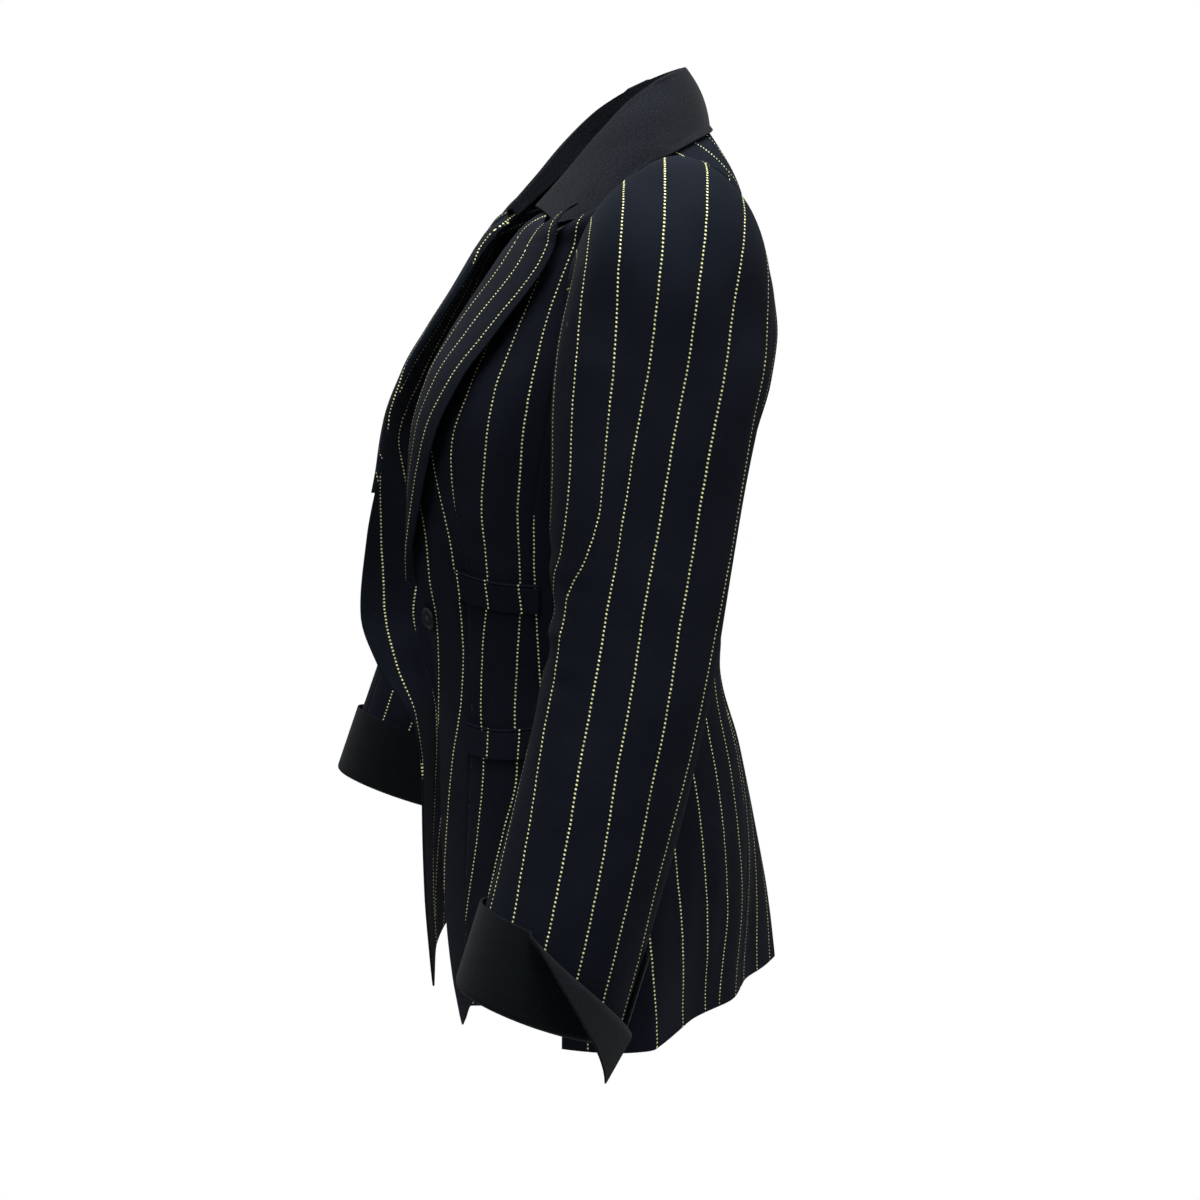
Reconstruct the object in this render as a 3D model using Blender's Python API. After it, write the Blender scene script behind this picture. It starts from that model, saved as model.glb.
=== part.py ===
"""A tailored blazer as it is worn, open at the front, with turned-back cuffs.

Metres, +Z up. The wearer faces -Y and +X is the wearer's left. The origin is the middle of the
wearer's neck base, at the height of the collar's seam at the back of the neck.

The cloth is built the way it is cut: fronts, side panels, backs, two-piece sleeves, lapels,
collar, collar stand, cuffs, pocket welts and one button. Every panel of the body is a piece of
one surface, the worn body of the jacket, cut along its seams and given the cloth's thickness.
"""
import math

import bpy
import numpy as np
from mathutils import Matrix

CLOTH = 0.0022            # wall of one panel: wool, canvas and lining together
THIN = 0.0018             # wall of the lapels, the collar, the cuffs and the welts
SEAM_GAP = 0.0003         # distance between neighbouring pieces
ARMHOLE_GAP = 0.0010      # distance from the armhole to the sleeve head, along X
LEFT, RIGHT = 1, -1

HEM_ROWS = 15             # rows of a body panel from the hem to the armhole
ARMHOLE_STEPS = 24        # points all round an armhole, and so round a sleeve
FRONT_STEPS = 9           # of those, on the front panel, and as many on the back
FRONT_COLS, BACK_COLS = 11, 8
SIDE_COLS = ARMHOLE_STEPS - 2 * FRONT_STEPS
SLEEVE_ROWS = 19
FRONT_SEAM_AT = FRONT_STEPS / ARMHOLE_STEPS

CUFF_HEIGHT = 0.059
SLIT_AT = -64.0           # the cuff's slit, in degrees round the sleeve from its outer side
SLIT_WIDTH = 5.0
FLAP_FROM = 32.0          # where the dropped part of the cuff begins, in the same degrees
FLAP_WAY = (0.66, -0.58, -0.48)   # the way the dropped part hangs, on the left sleeve
FOLD_WIDTH = 0.0105       # length of the cuff's fold under the sleeve's hem
ROLL_WIDTH = 0.024        # length over which the band turns over to hang down
CUFF_GAP = 0.0010
CUFF_STRIDES = 48

BUTTON_RADIUS = 0.0088
BUTTON_THICK = 0.0030
BUTTON_HOLES = 4
BUTTON_HOLE_RADIUS = 0.0011
BUTTON_HOLES_OUT = 0.0026   # the holes' distance from the middle
BUTTON_SIDES = 28
BUTTON_GAP = 0.0016


class Table:
    """Rows with named columns, read smoothly along the first column."""

    def __init__(self, names, rows):
        self.names = names.split()
        self.values = dict(zip(self.names, np.array(rows, float).T))

    def at(self, key, name):
        return smooth(self.values[self.names[0]], self.values[name], key)

    def point(self, key, *names):
        return np.stack([self.at(key, name) for name in names], -1)


def smooth(knots, values, key):
    """A monotone cubic through the knots, straight beyond both ends."""
    key = np.asarray(key, float)
    step = np.diff(knots)
    rise = np.diff(values) / step
    before, after = rise[:-1], rise[1:]
    same = before * after > 0
    weight_a = 2 * step[1:] + step[:-1]
    weight_b = step[1:] + 2 * step[:-1]
    safe_before = np.where(same, before, 1.0)
    safe_after = np.where(same, after, 1.0)
    inner = (weight_a + weight_b) / (weight_a / safe_before + weight_b / safe_after)
    slope = np.concatenate([rise[:1], np.where(same, inner, 0.0), rise[-1:]])
    i = np.clip(np.searchsorted(knots, key, side="right") - 1, 0, len(step) - 1)
    h = step[i]
    t = np.clip((key - knots[i]) / h, 0, 1)
    beyond = key - knots[i] - t * h
    curve = (values[i] * (1 + 2 * t) * (1 - t) ** 2 + slope[i] * h * t * (1 - t) ** 2
             + values[i + 1] * t * t * (3 - 2 * t) + slope[i + 1] * h * t * t * (t - 1))
    return curve + beyond * np.where(beyond < 0, slope[0], slope[-1])


def ease(t):
    t = np.clip(t, 0, 1)
    return t * t * (3 - 2 * t)


def unit(v):
    return v / np.maximum(np.linalg.norm(v, axis=-1, keepdims=True), 1e-12)


# The worn body, level by level. half_width is at the sides, centre_y is where the side line
# runs, front and back are the depths from there, and the roundness is 2 for an ellipse, more
# for a boxier section and towards 1 for a pointed one.
BODY = Table("z half_width centre_y front back front_round back_round", [
    (-0.740, 0.203, 0.000, 0.133, 0.158, 2.2, 1.03),
    (-0.700, 0.198, 0.000, 0.138, 0.155, 2.2, 1.05),
    (-0.640, 0.187, 0.000, 0.143, 0.147, 2.3, 1.22),
    (-0.570, 0.173, 0.000, 0.146, 0.132, 2.3, 1.55),
    (-0.500, 0.159, 0.000, 0.147, 0.114, 2.3, 1.90),
    (-0.430, 0.149, 0.000, 0.150, 0.095, 2.3, 2.10),
    (-0.360, 0.151, 0.000, 0.153, 0.096, 2.4, 2.20),
    (-0.300, 0.156, 0.002, 0.155, 0.105, 2.6, 2.25),
    (-0.240, 0.161, 0.004, 0.156, 0.118, 2.8, 2.30),
    (-0.200, 0.166, 0.006, 0.150, 0.127, 2.7, 2.35),
    (-0.165, 0.172, 0.008, 0.137, 0.129, 2.5, 2.40),
    (-0.130, 0.180, 0.010, 0.119, 0.123, 2.4, 2.40),
    (-0.095, 0.187, 0.013, 0.101, 0.111, 2.4, 2.30),
    (-0.060, 0.193, 0.015, 0.077, 0.097, 3.0, 2.30),
    (-0.041, 0.192, 0.016, 0.046, 0.090, 3.0, 2.20),
    (-0.030, 0.190, 0.017, 0.037, 0.087, 3.0, 2.20),
    (-0.010, 0.137, 0.018, 0.026, 0.076, 2.6, 2.10),
    (0.010, 0.078, 0.020, 0.018, 0.060, 2.2, 2.00),
    (0.020, 0.052, 0.022, 0.013, 0.040, 2.0, 2.00)])
# The shoulder drops away beside the neck and comes back level towards the shoulder point; the
# drop fades out downwards between two heights.
SHOULDER_DROP = Table("x drop", [
    (0.000, 0.000),
    (0.030, 0.005),
    (0.050, 0.012),
    (0.075, 0.022),
    (0.095, 0.031),
    (0.112, 0.034),
    (0.130, 0.029),
    (0.160, 0.014),
    (0.190, 0.000)])
DROP_FROM, DROP_FULL = -0.100, -0.025
NECK_TOP = 0.020

# Seams run from the hem, at 0, to the armhole, at 1. around is in degrees round the body from
# the centre front, 90 at the side and 180 at the centre back.
SIDE_FRONT_SEAM = Table("along z around", [
    (0.00, -0.682, 69.0),
    (0.30, -0.540, 66.0),
    (0.55, -0.420, 60.0),
    (0.75, -0.320, 59.0),
    (0.90, -0.235, 62.5),
    (1.00, -0.165, 66.0)])
SIDE_BACK_SEAM = Table("along z around", [
    (0.00, -0.702, 146.0),
    (0.30, -0.545, 144.0),
    (0.55, -0.420, 140.0),
    (0.75, -0.320, 134.0),
    (0.90, -0.235, 124.0),
    (1.00, -0.165, 115.0)])
SIDE_HEM_Z = -0.707       # the side panel's hem at the side-front seam, below the front's hem

# Once round the armhole from the shoulder point: front, underarm, back.
ARMHOLE = Table("turn z around", [
    (-0.125, -0.060, 106.0),
    (0.000, -0.030, 90.0),
    (0.125, -0.062, 74.5),
    (0.250, -0.118, 66.0),
    (0.375, -0.165, 66.0),
    (0.500, -0.192, 90.0),
    (0.625, -0.165, 115.0),
    (0.750, -0.112, 114.0),
    (0.875, -0.060, 106.0),
    (1.000, -0.030, 90.0),
    (1.125, -0.062, 74.5)])

# A front's inner edge by height: the opening, the roll line above the break and the neckline.
# lift is how far the cloth stands off the body there, and reach is how many degrees round the
# body that roll carries.
LEFT_EDGE = Table("z x lift reach", [
    (-0.722, 0.060, -0.003, 30.0),
    (-0.708, 0.055, -0.003, 30.0),
    (-0.685, 0.052, -0.002, 30.0),
    (-0.540, 0.050, 0.000, 30.0),
    (-0.440, 0.049, 0.001, 24.0),
    (-0.385, 0.048, 0.004, 22.0),
    (-0.350, 0.045, 0.013, 22.0),
    (-0.290, 0.045, 0.013, 22.0),
    (-0.205, 0.052, 0.009, 20.0),
    (-0.145, 0.057, 0.006, 20.0),
    (-0.100, 0.060, 0.002, 18.0),
    (-0.065, 0.063, 0.000, 18.0),
    (-0.025, 0.066, 0.000, 18.0),
    (0.010, 0.078, 0.000, 18.0)])
RIGHT_EDGE = Table("z x lift reach", [
    (-0.720, 0.052, 0.004, 30.0),
    (-0.650, 0.052, 0.003, 30.0),
    (-0.540, 0.054, 0.002, 30.0),
    (-0.490, 0.056, 0.010, 34.0),
    (-0.445, 0.060, 0.038, 38.0),
    (-0.400, 0.064, 0.052, 40.0),
    (-0.335, 0.066, 0.042, 40.0),
    (-0.270, 0.066, 0.026, 38.0),
    (-0.205, 0.062, 0.013, 32.0),
    (-0.145, 0.058, 0.005, 26.0),
    (-0.100, 0.060, 0.002, 20.0),
    (-0.065, 0.063, 0.000, 18.0),
    (-0.025, 0.066, 0.000, 18.0),
    (0.010, 0.078, 0.000, 18.0)])
# Heights of the two inner edges against the steps of a panel: 1 is level with the armhole's
# lower corner, the corner of the neckline comes at NECK_AT and the neck point at 2.
NECK_AT = 1 + 6 / 9
FRONT_RISE = Table("along z", [
    (0.00, -0.722),
    (1.00, -0.205),
    (1.30, -0.140),
    (NECK_AT, -0.049),
    (1.85, -0.015),
    (2.00, 0.010)])
BACK_RISE = Table("along z", [
    (0.00, -0.698),
    (1.00, -0.165),
    (NECK_AT, 0.012),
    (2.00, 0.010)])

# The front's hem rises from its point; across runs from the opening to the side-front seam.
FRONT_HEM = Table("across rise", [
    (0.00, 0.000),
    (0.10, 0.005),
    (0.25, 0.016),
    (0.60, 0.014),
    (1.00, 0.000)])

# Soft vertical flutes of the skirt: where round the body, how wide in degrees, how deep at the
# hem and how high up they fade out.
FLUTES = Table("around width depth fade_z", [
    (84.0, 10.0, 0.004, -0.50),
    (108.0, 11.0, -0.006, -0.48),
    (133.0, 10.0, 0.005, -0.47),
    (157.0, 9.0, -0.004, -0.50)])

# The left sleeve's sections: the centre, the lean of the section from upright to level and then
# forward, and its half sizes outwards and fore and aft.
ARM = Table("along x y z level forward out fore", [
    (0.00, 0.172, 0.012, -0.109, 0.0, 0.0, 0.0820, 0.0640),
    (0.06, 0.192, 0.011, -0.111, 22.0, 0.0, 0.0830, 0.0700),
    (0.12, 0.207, 0.008, -0.123, 44.0, 0.0, 0.0770, 0.0745),
    (0.19, 0.217, 0.004, -0.147, 66.0, 1.0, 0.0650, 0.0780),
    (0.26, 0.223, 0.000, -0.178, 84.0, 2.0, 0.0550, 0.0800),
    (0.33, 0.227, -0.006, -0.212, 90.0, 4.0, 0.0520, 0.0775),
    (0.42, 0.232, -0.013, -0.262, 90.0, 5.0, 0.0505, 0.0725),
    (0.52, 0.238, -0.020, -0.320, 90.0, 6.0, 0.0490, 0.0680),
    (0.62, 0.244, -0.027, -0.376, 90.0, 9.0, 0.0480, 0.0645),
    (0.72, 0.250, -0.037, -0.432, 90.0, 13.0, 0.0485, 0.0630),
    (0.83, 0.256, -0.055, -0.500, 90.0, 17.0, 0.0495, 0.0620),
    (0.92, 0.261, -0.077, -0.573, 90.0, 19.0, 0.0510, 0.0615),
    (1.00, 0.265, -0.101, -0.645, 90.0, 20.0, 0.0525, 0.0620)])
# The right arm hangs a little further out, forward and up; each grows down the sleeve.
RIGHT_ARM_SHIFT = (-0.040, -0.026, 0.042)
SLEEVE_FRONT_SEAM, SLEEVE_BACK_SEAM = 7, 17     # steps round from the top of the sleeve

# Creases pressed into the sleeves: place along and round the sleeve, half sizes, depth.
SLEEVE_CREASES = Table("along around half_along half_around depth", [
    (0.595, 92.0, 0.030, 30.0, 0.0050),
    (0.655, 100.0, 0.026, 26.0, 0.0040),
    (0.210, 48.0, 0.045, 22.0, 0.0040),
    (0.215, -40.0, 0.045, 20.0, 0.0035),
    (0.620, 200.0, 0.040, 40.0, 0.0040)])

# The lapel's outer edge over the front, from the break at 0 to the peak's tip at 1, and its
# distance off the front.
LAPEL_EDGE = Table("along z x stand", [
    (0.00, -0.362, 0.049, 0.002),
    (0.12, -0.325, 0.060, 0.008),
    (0.30, -0.270, 0.079, 0.009),
    (0.50, -0.208, 0.101, 0.009),
    (0.70, -0.148, 0.122, 0.008),
    (0.88, -0.098, 0.139, 0.007),
    (1.00, -0.069, 0.146, 0.008)])
# The gorge seam, from the roll line at 0 out to the peak's tip at 1.
GORGE = Table("across z x stand", [
    (0.00, -0.067, 0.063, 0.000),
    (0.30, -0.078, 0.085, 0.001),
    (0.50, -0.0825, 0.103, 0.001),
    (0.62, -0.084, 0.115, 0.002),
    (1.00, -0.069, 0.146, 0.008)])
BREAK_Z = {LEFT: -0.360, RIGHT: -0.340}
RIGHT_LAPEL_DROP = 0.018  # the right lapel lies a little flatter at its foot
LAPEL_CROWN = 0.004
LAPEL_GAP = 0.0009        # clear of the front below, at the roll line

# The collar, from the centre back at 0 round to the gorge at 1: the seam on the neckline, the
# fold at the top, and the leaf's free edge.
COLLAR_FOLD = Table("along x y z", [
    (0.00, 0.000, 0.070, 0.052),
    (0.15, 0.024, 0.064, 0.050),
    (0.30, 0.045, 0.043, 0.041),
    (0.48, 0.059, 0.014, 0.024),
    (0.66, 0.065, -0.016, -0.004),
    (0.84, 0.064, -0.042, -0.034),
    (1.00, 0.062, -0.066, -0.061)])
COLLAR_LEAF = Table("along x y z", [
    (0.00, 0.000, 0.092, 0.002),
    (0.15, 0.040, 0.078, -0.006),
    (0.30, 0.075, 0.053, -0.017),
    (0.48, 0.103, 0.020, -0.028),
    (0.66, 0.118, -0.008, -0.049),
    (0.84, 0.124, -0.032, -0.070),
    (1.00, 0.116, -0.056, -0.083)])
COLLAR_SEAM = Table("along x y z", [
    (0.00, 0.000, 0.0745, 0.006),
    (0.15, 0.023, 0.0665, 0.001),
    (0.30, 0.045, 0.046, -0.004),
    (0.48, 0.062, 0.020, -0.010),
    (0.66, 0.065, -0.010, -0.026),
    (0.84, 0.064, -0.037, -0.048),
    (1.00, 0.061, -0.061, -0.068)])
COLLAR_BULGE = 0.005      # crown of the leaf between its fold and its edge
COLLAR_MIDDLE_Y = 0.010
COLLAR_DEPTH = 0.0040     # from the leaf's outer face to the neck's side of the stand
COLLAR_STAND_OFF = 0.0038 # the leaf's outer face off the body below

# The welts on the front panels, as seen from the front: their ends are in degrees round the
# body, and z is the height of the upper edge at each end.
WELTS = {
    "upper": dict(start=33.5, end=61.0, z_start=-0.344, z_end=-0.352, height=0.0205),
    "lower": dict(start=36.0, end=59.0, z_start=-0.466, z_end=-0.464, height=0.0215)}
CURLED_WELT_STAND = 0.0018  # the right front curls under its lower welt
WELT_STAND = 0.0008       # clear of the panel below
JET_HEIGHT = 0.0022
WELT_BOW = 0.003

BUTTON_AROUND, BUTTON_Z = 20.5, -0.385


def shoulder_drop(x, z):
    share = ease((z - DROP_FROM) / (DROP_FULL - DROP_FROM))
    return SHOULDER_DROP.at(np.clip(np.abs(x), 0, 0.19), "drop") * share


def radius_of(around, z):
    """How far the body is from its middle at an angle round it, on the ring of height z."""
    turn = np.radians(around)
    across, fore = np.abs(np.sin(turn)), -np.cos(turn)
    depth = np.where(fore < 0, BODY.at(z, "front"), BODY.at(z, "back"))
    power = np.where(fore < 0, BODY.at(z, "front_round"), BODY.at(z, "back_round"))
    width = BODY.at(z, "half_width")
    radius = ((across / width) ** power + (np.abs(fore) / depth) ** power) ** (-1 / power)
    return radius + flutes(around, z)


def body(side, around, z):
    """The point of the worn body at an angle round it, on the ring of height z."""
    around, z = np.broadcast_arrays(np.asarray(around, float), np.asarray(z, float))
    turn = np.radians(around)
    radius = radius_of(around, z)
    x = radius * np.sin(turn)
    y = BODY.at(z, "centre_y") - radius * np.cos(turn)
    return np.stack([side * x, y, z - shoulder_drop(x, z)], -1)


def ring_through(x, z):
    """The height of the ring that passes at x and, after the shoulder's drop, at height z."""
    ring = z
    for _ in range(30):
        ring = z + shoulder_drop(x, ring)
    return ring


def height_off(point):
    """Roughly how far a point lies outside the body, and the way straight out of it."""
    def excess(place):
        x, z = np.abs(place[..., 0]), place[..., 2]
        ring = np.minimum(ring_through(x, z), NECK_TOP)
        back = place[..., 1] - BODY.at(ring, "centre_y")
        return np.hypot(x, back) - radius_of(np.degrees(np.arctan2(x, -back)), ring)

    small = 0.0005
    steps = small * np.eye(3)
    slope = np.stack([(excess(point + s) - excess(point - s)) / (2 * small) for s in steps], -1)
    size = np.linalg.norm(slope, axis=-1, keepdims=True)
    return excess(point) / size[..., 0], slope / size


def clear_of_body(point, stand):
    """The point, moved out of the body until it is at least stand away from it."""
    for _ in range(4):
        distance, outward = height_off(point)
        point = point + outward * np.clip(stand - distance, 0, 0.010)[..., None]
    return point


def flutes(around, z):
    total = np.zeros_like(around)
    for where, width, depth, fade in zip(*(FLUTES.values[n] for n in FLUTES.names)):
        grow = ease((fade - z) / (fade + 0.70))
        total = total + depth * grow * np.exp(-((around - where) / width) ** 2)
    return total


def around_of(x, z):
    """The angle round the front of the body at which it is x wide."""
    low, high = np.zeros_like(z), np.full_like(z, 90.0)
    for _ in range(40):
        middle = (low + high) / 2
        wide = body(LEFT, middle, z)[..., 0] > x
        low, high = np.where(wide, low, middle), np.where(wide, middle, high)
    return (low + high) / 2


def normal_of(surface, a, b, step_a, step_b):
    """The outward normal of surface(a, b), by central differences."""
    along_a = surface(a + step_a, b) - surface(a - step_a, b)
    along_b = surface(a, b + step_b) - surface(a, b - step_b)
    return unit(np.cross(along_a, along_b))


def raise_off(side, around, z, lift):
    """The body's point moved straight out by lift."""
    point = body(side, around, z)
    normal = normal_of(lambda a, h: body(side, a, h), around, z, 0.8, 0.002) * side
    return point + normal * np.asarray(lift)[..., None]


def front_edge(side):
    return LEFT_EDGE if side == LEFT else RIGHT_EDGE


def cloth(side, around, z, stand=0.0):
    """The jacket's outer face: the body, with the soft roll along each front's inner edge."""
    around, z = np.broadcast_arrays(np.asarray(around, float), np.asarray(z, float))
    edge = front_edge(side)
    inner = around_of(edge.at(z, "x"), z)
    roll = np.clip(1 - np.clip(around - inner, 0, None) / edge.at(z, "reach"), 0, 1)
    return raise_off(side, around, z, edge.at(z, "lift") * roll * roll + stand)


def blend(a, b, share):
    return a * (1 - share) + b * share


def seam_or_armhole(seam, v, turn, name):
    """Along a seam up to the armhole at v 1, and along the armhole from there."""
    return np.where(v < 1, seam.at(np.minimum(v, 1), name), ARMHOLE.at(turn, name))


def front_place(side, u, v):
    """Where a front is cut: from its inner edge at u 0 to the side-front seam and armhole at 1."""
    z_in = FRONT_RISE.at(v, "z")
    around_in = around_of(front_edge(side).at(z_in, "x"), z_in)
    turn = FRONT_SEAM_AT * (2 - np.maximum(v, 1))
    z = blend(z_in, seam_or_armhole(SIDE_FRONT_SEAM, v, turn, "z"), u)
    around = blend(around_in, seam_or_armhole(SIDE_FRONT_SEAM, v, turn, "around"), u)
    return around, z + FRONT_HEM.at(u, "rise") * np.clip(1 - v / 0.3, 0, 1) ** 2


def back_place(side, u, v):
    """Where a back is cut: from the centre seam at u 0 to the side seam and armhole at u 1."""
    z_in = BACK_RISE.at(v, "z")
    around_in = 180 - 90 * np.clip((v - NECK_AT) / (2 - NECK_AT), 0, 1)
    turn = 1 - FRONT_SEAM_AT * (2 - np.maximum(v, 1))
    z = blend(z_in, seam_or_armhole(SIDE_BACK_SEAM, v, turn, "z"), u)
    return blend(around_in, seam_or_armhole(SIDE_BACK_SEAM, v, turn, "around"), u), z


def side_place(side, u, v):
    """Where a side panel is cut: from the side-front seam at u 0 to the side-back seam at 1.

    Its hem, at v -1, is a little lower than the front's at their seam.
    """
    along = np.clip(v, 0, None)
    z = blend(SIDE_FRONT_SEAM.at(along, "z"), SIDE_BACK_SEAM.at(along, "z"), u)
    around = blend(SIDE_FRONT_SEAM.at(along, "around"), SIDE_BACK_SEAM.at(along, "around"), u)
    turn = FRONT_SEAM_AT + u * (1 - 2 * FRONT_SEAM_AT)
    top = along ** 6
    z = z + top * (ARMHOLE.at(turn, "z") - ARMHOLE.at(FRONT_SEAM_AT, "z"))
    corners = blend(SIDE_FRONT_SEAM.at(1.0, "around"), SIDE_BACK_SEAM.at(1.0, "around"), u)
    around = around + top * (ARMHOLE.at(turn, "around") - corners)
    below = np.clip(-v, 0, None) * (1 - u)
    return around, z + below * (SIDE_HEM_Z - SIDE_FRONT_SEAM.at(0.0, "z"))


def sleeve_ring(side, along, around):
    """A point of a sleeve's section before the armhole draws it in."""
    level = np.radians(ARM.at(along, "level"))
    forward = np.radians(ARM.at(along, "forward"))
    turn = np.radians(around)
    centre = ARM.point(along, "x", "y", "z")
    up_or_out = np.stack([np.sin(level), np.zeros_like(level), np.cos(level)], -1)
    ahead = np.stack([np.zeros_like(level), -np.cos(forward), np.sin(forward)], -1)
    out = ARM.at(along, "out") * np.cos(turn)
    fore = ARM.at(along, "fore") * np.sin(turn)
    dent = creases(along, around)
    size = 1 - dent / 0.065
    point = centre + (out * size)[..., None] * up_or_out + (fore * size)[..., None] * ahead
    return mirrored(side, point, along)


def mirrored(side, point, along):
    """The left sleeve's point, or the right one's with that arm's own pose."""
    if side == LEFT:
        return point
    point = point * np.array([-1, 1, 1])
    return point + ease(along)[..., None] * np.array(RIGHT_ARM_SHIFT)


def creases(along, around):
    total = np.zeros_like(along)
    columns = zip(*(SLEEVE_CREASES.values[n] for n in SLEEVE_CREASES.names))
    for where, angle, half_along, half_around, depth in columns:
        off = (around - angle + 180) % 360 - 180
        total = total + depth * np.exp(-((along - where) / half_along) ** 2
                                       - (off / half_around) ** 2)
    return total


def sleeve_surface(side, along, around):
    """A sleeve from its head, at along 0 on the armhole, to its hem at 1."""
    along, around = np.broadcast_arrays(np.asarray(along, float), np.asarray(around, float))
    turn = (around / 360) % 1
    hole = body(side, ARMHOLE.at(turn, "around"), ARMHOLE.at(turn, "z"))
    hole = hole + np.array([side * ARMHOLE_GAP, 0, 0])
    drawn = np.clip(1 - along / 0.10, 0, 1) ** 2
    ring = sleeve_ring(side, along, around)
    start = sleeve_ring(side, np.zeros_like(along), around)
    return ring + (hole - start) * drawn[..., None]


def stitched_shell(outer, inner):
    """Vertices and faces of a closed wall between two grids of points."""
    rows, cols = outer.shape[:2]
    number = np.arange(rows * cols).reshape(rows, cols)
    back = number + rows * cols
    faces = []
    for i in range(rows - 1):
        for j in range(cols - 1):
            faces.append((number[i, j], number[i, j + 1], number[i + 1, j + 1], number[i + 1, j]))
            faces.append((back[i, j], back[i + 1, j], back[i + 1, j + 1], back[i, j + 1]))
    rim = [(0, j) for j in range(cols)] + [(i, cols - 1) for i in range(1, rows)]
    rim += [(rows - 1, j) for j in range(cols - 2, -1, -1)] + [(i, 0) for i in range(rows - 2, 0, -1)]
    for a, b in zip(rim, rim[1:] + rim[:1]):
        faces.append((number[b], number[a], back[a], back[b]))
    points = np.concatenate([outer.reshape(-1, 3), inner.reshape(-1, 3)])
    return points, [tuple(int(k) for k in face) for face in faces]


def inset(grid, distances):
    """Draw in the grid's four edges: first row, last row, first column, last column."""
    grid = grid.copy()
    first_row, last_row, first_col, last_col = distances
    grid[0] += unit(grid[1] - grid[0]) * first_row
    grid[-1] += unit(grid[-2] - grid[-1]) * last_row
    grid[:, 0] += unit(grid[:, 1] - grid[:, 0]) * first_col
    grid[:, -1] += unit(grid[:, -2] - grid[:, -1]) * last_col
    return grid


def material(name, colour, roughness):
    made = bpy.data.materials.get(name) or bpy.data.materials.new(name)
    made.use_nodes = True
    shader = made.node_tree.nodes["Principled BSDF"]
    shader.inputs["Base Color"].default_value = (*colour, 1)
    shader.inputs["Roughness"].default_value = roughness
    shader.inputs["Metallic"].default_value = 0.0
    return made


WOOL = ("pinstripe_wool", (0.012, 0.013, 0.022), 0.85)
PLAIN = ("plain_black_wool", (0.010, 0.010, 0.013), 0.90)
HORN = ("button_black", (0.012, 0.012, 0.014), 0.35)


def add_mesh(name, points, faces, finish, sharp=40):
    mesh = bpy.data.meshes.new(name)
    mesh.from_pydata([tuple(p) for p in points], [], faces)
    mesh.materials.append(material(f"{name}_{finish[0]}", *finish[1:]))
    mesh.shade_smooth()
    mesh.set_sharp_from_angle(angle=math.radians(sharp))
    piece = bpy.data.objects.new(name, mesh)
    bpy.context.scene.collection.objects.link(piece)
    return piece


def side_name(side):
    return "left" if side == LEFT else "right"


def add_wall(name, outer, outward, thickness, edges, finish, side=LEFT):
    """A piece of cloth: the outer face is the grid of points, its wall lies on the inside."""
    inner = inset(outer, edges) - outward * thickness
    outer = inset(outer, edges)
    if side == RIGHT:
        outer, inner = outer[:, ::-1], inner[:, ::-1]
    points, faces = stitched_shell(outer, inner)
    add_mesh(name, points, faces, finish)


def grid(rows, cols):
    return np.meshgrid(rows, cols, indexing="ij")


def body_panel(name, side, place, rows, cols):
    """A panel of the body. Neighbours share the body's own normals, so their walls meet."""
    v, u = grid(rows, cols)
    around, z = place(side, u, v)
    outward = normal_of(lambda a, h: cloth(side, a, h), around, z, 0.8, 0.002) * side
    half = SEAM_GAP / 2
    add_wall(f"{name}_{side_name(side)}", cloth(side, around, z), outward, CLOTH,
             (0, half, half, half), WOOL, -side if name == "back" else side)


def body_panels(side):
    below = np.linspace(0, 1, HEM_ROWS)
    beside_armhole = np.linspace(1, 2, FRONT_STEPS + 1)[1:]
    rows = np.concatenate([below, beside_armhole])
    body_panel("front", side, front_place, rows, np.linspace(0, 1, FRONT_COLS + 1))
    body_panel("back", side, back_place, rows, np.linspace(0, 1, BACK_COLS + 1))
    body_panel("side", side, side_place, np.concatenate([[-1.0], below]),
               np.linspace(0, 1, SIDE_COLS + 1))


def sleeve(side):
    half = SEAM_GAP / 2
    rows = np.concatenate([np.linspace(0, 0.26, 7), np.linspace(0.26, 1, SLEEVE_ROWS - 6)[1:]])
    step = 360 / ARMHOLE_STEPS
    seams = SLEEVE_FRONT_SEAM, SLEEVE_BACK_SEAM
    pieces = {"sleeve_top": (seams[1] - ARMHOLE_STEPS, seams[0]), "sleeve_under": seams}
    for name, (first, last) in pieces.items():
        along, around = grid(rows, np.arange(first, last + 1) * step)
        outward = normal_of(lambda a, b: sleeve_surface(side, a, b), along, around, 0.004, 0.7)
        add_wall(f"{name}_{side_name(side)}", sleeve_surface(side, along, around), outward * side,
                 CLOTH, (0, 0, half, half), WOOL, -side)


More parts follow.
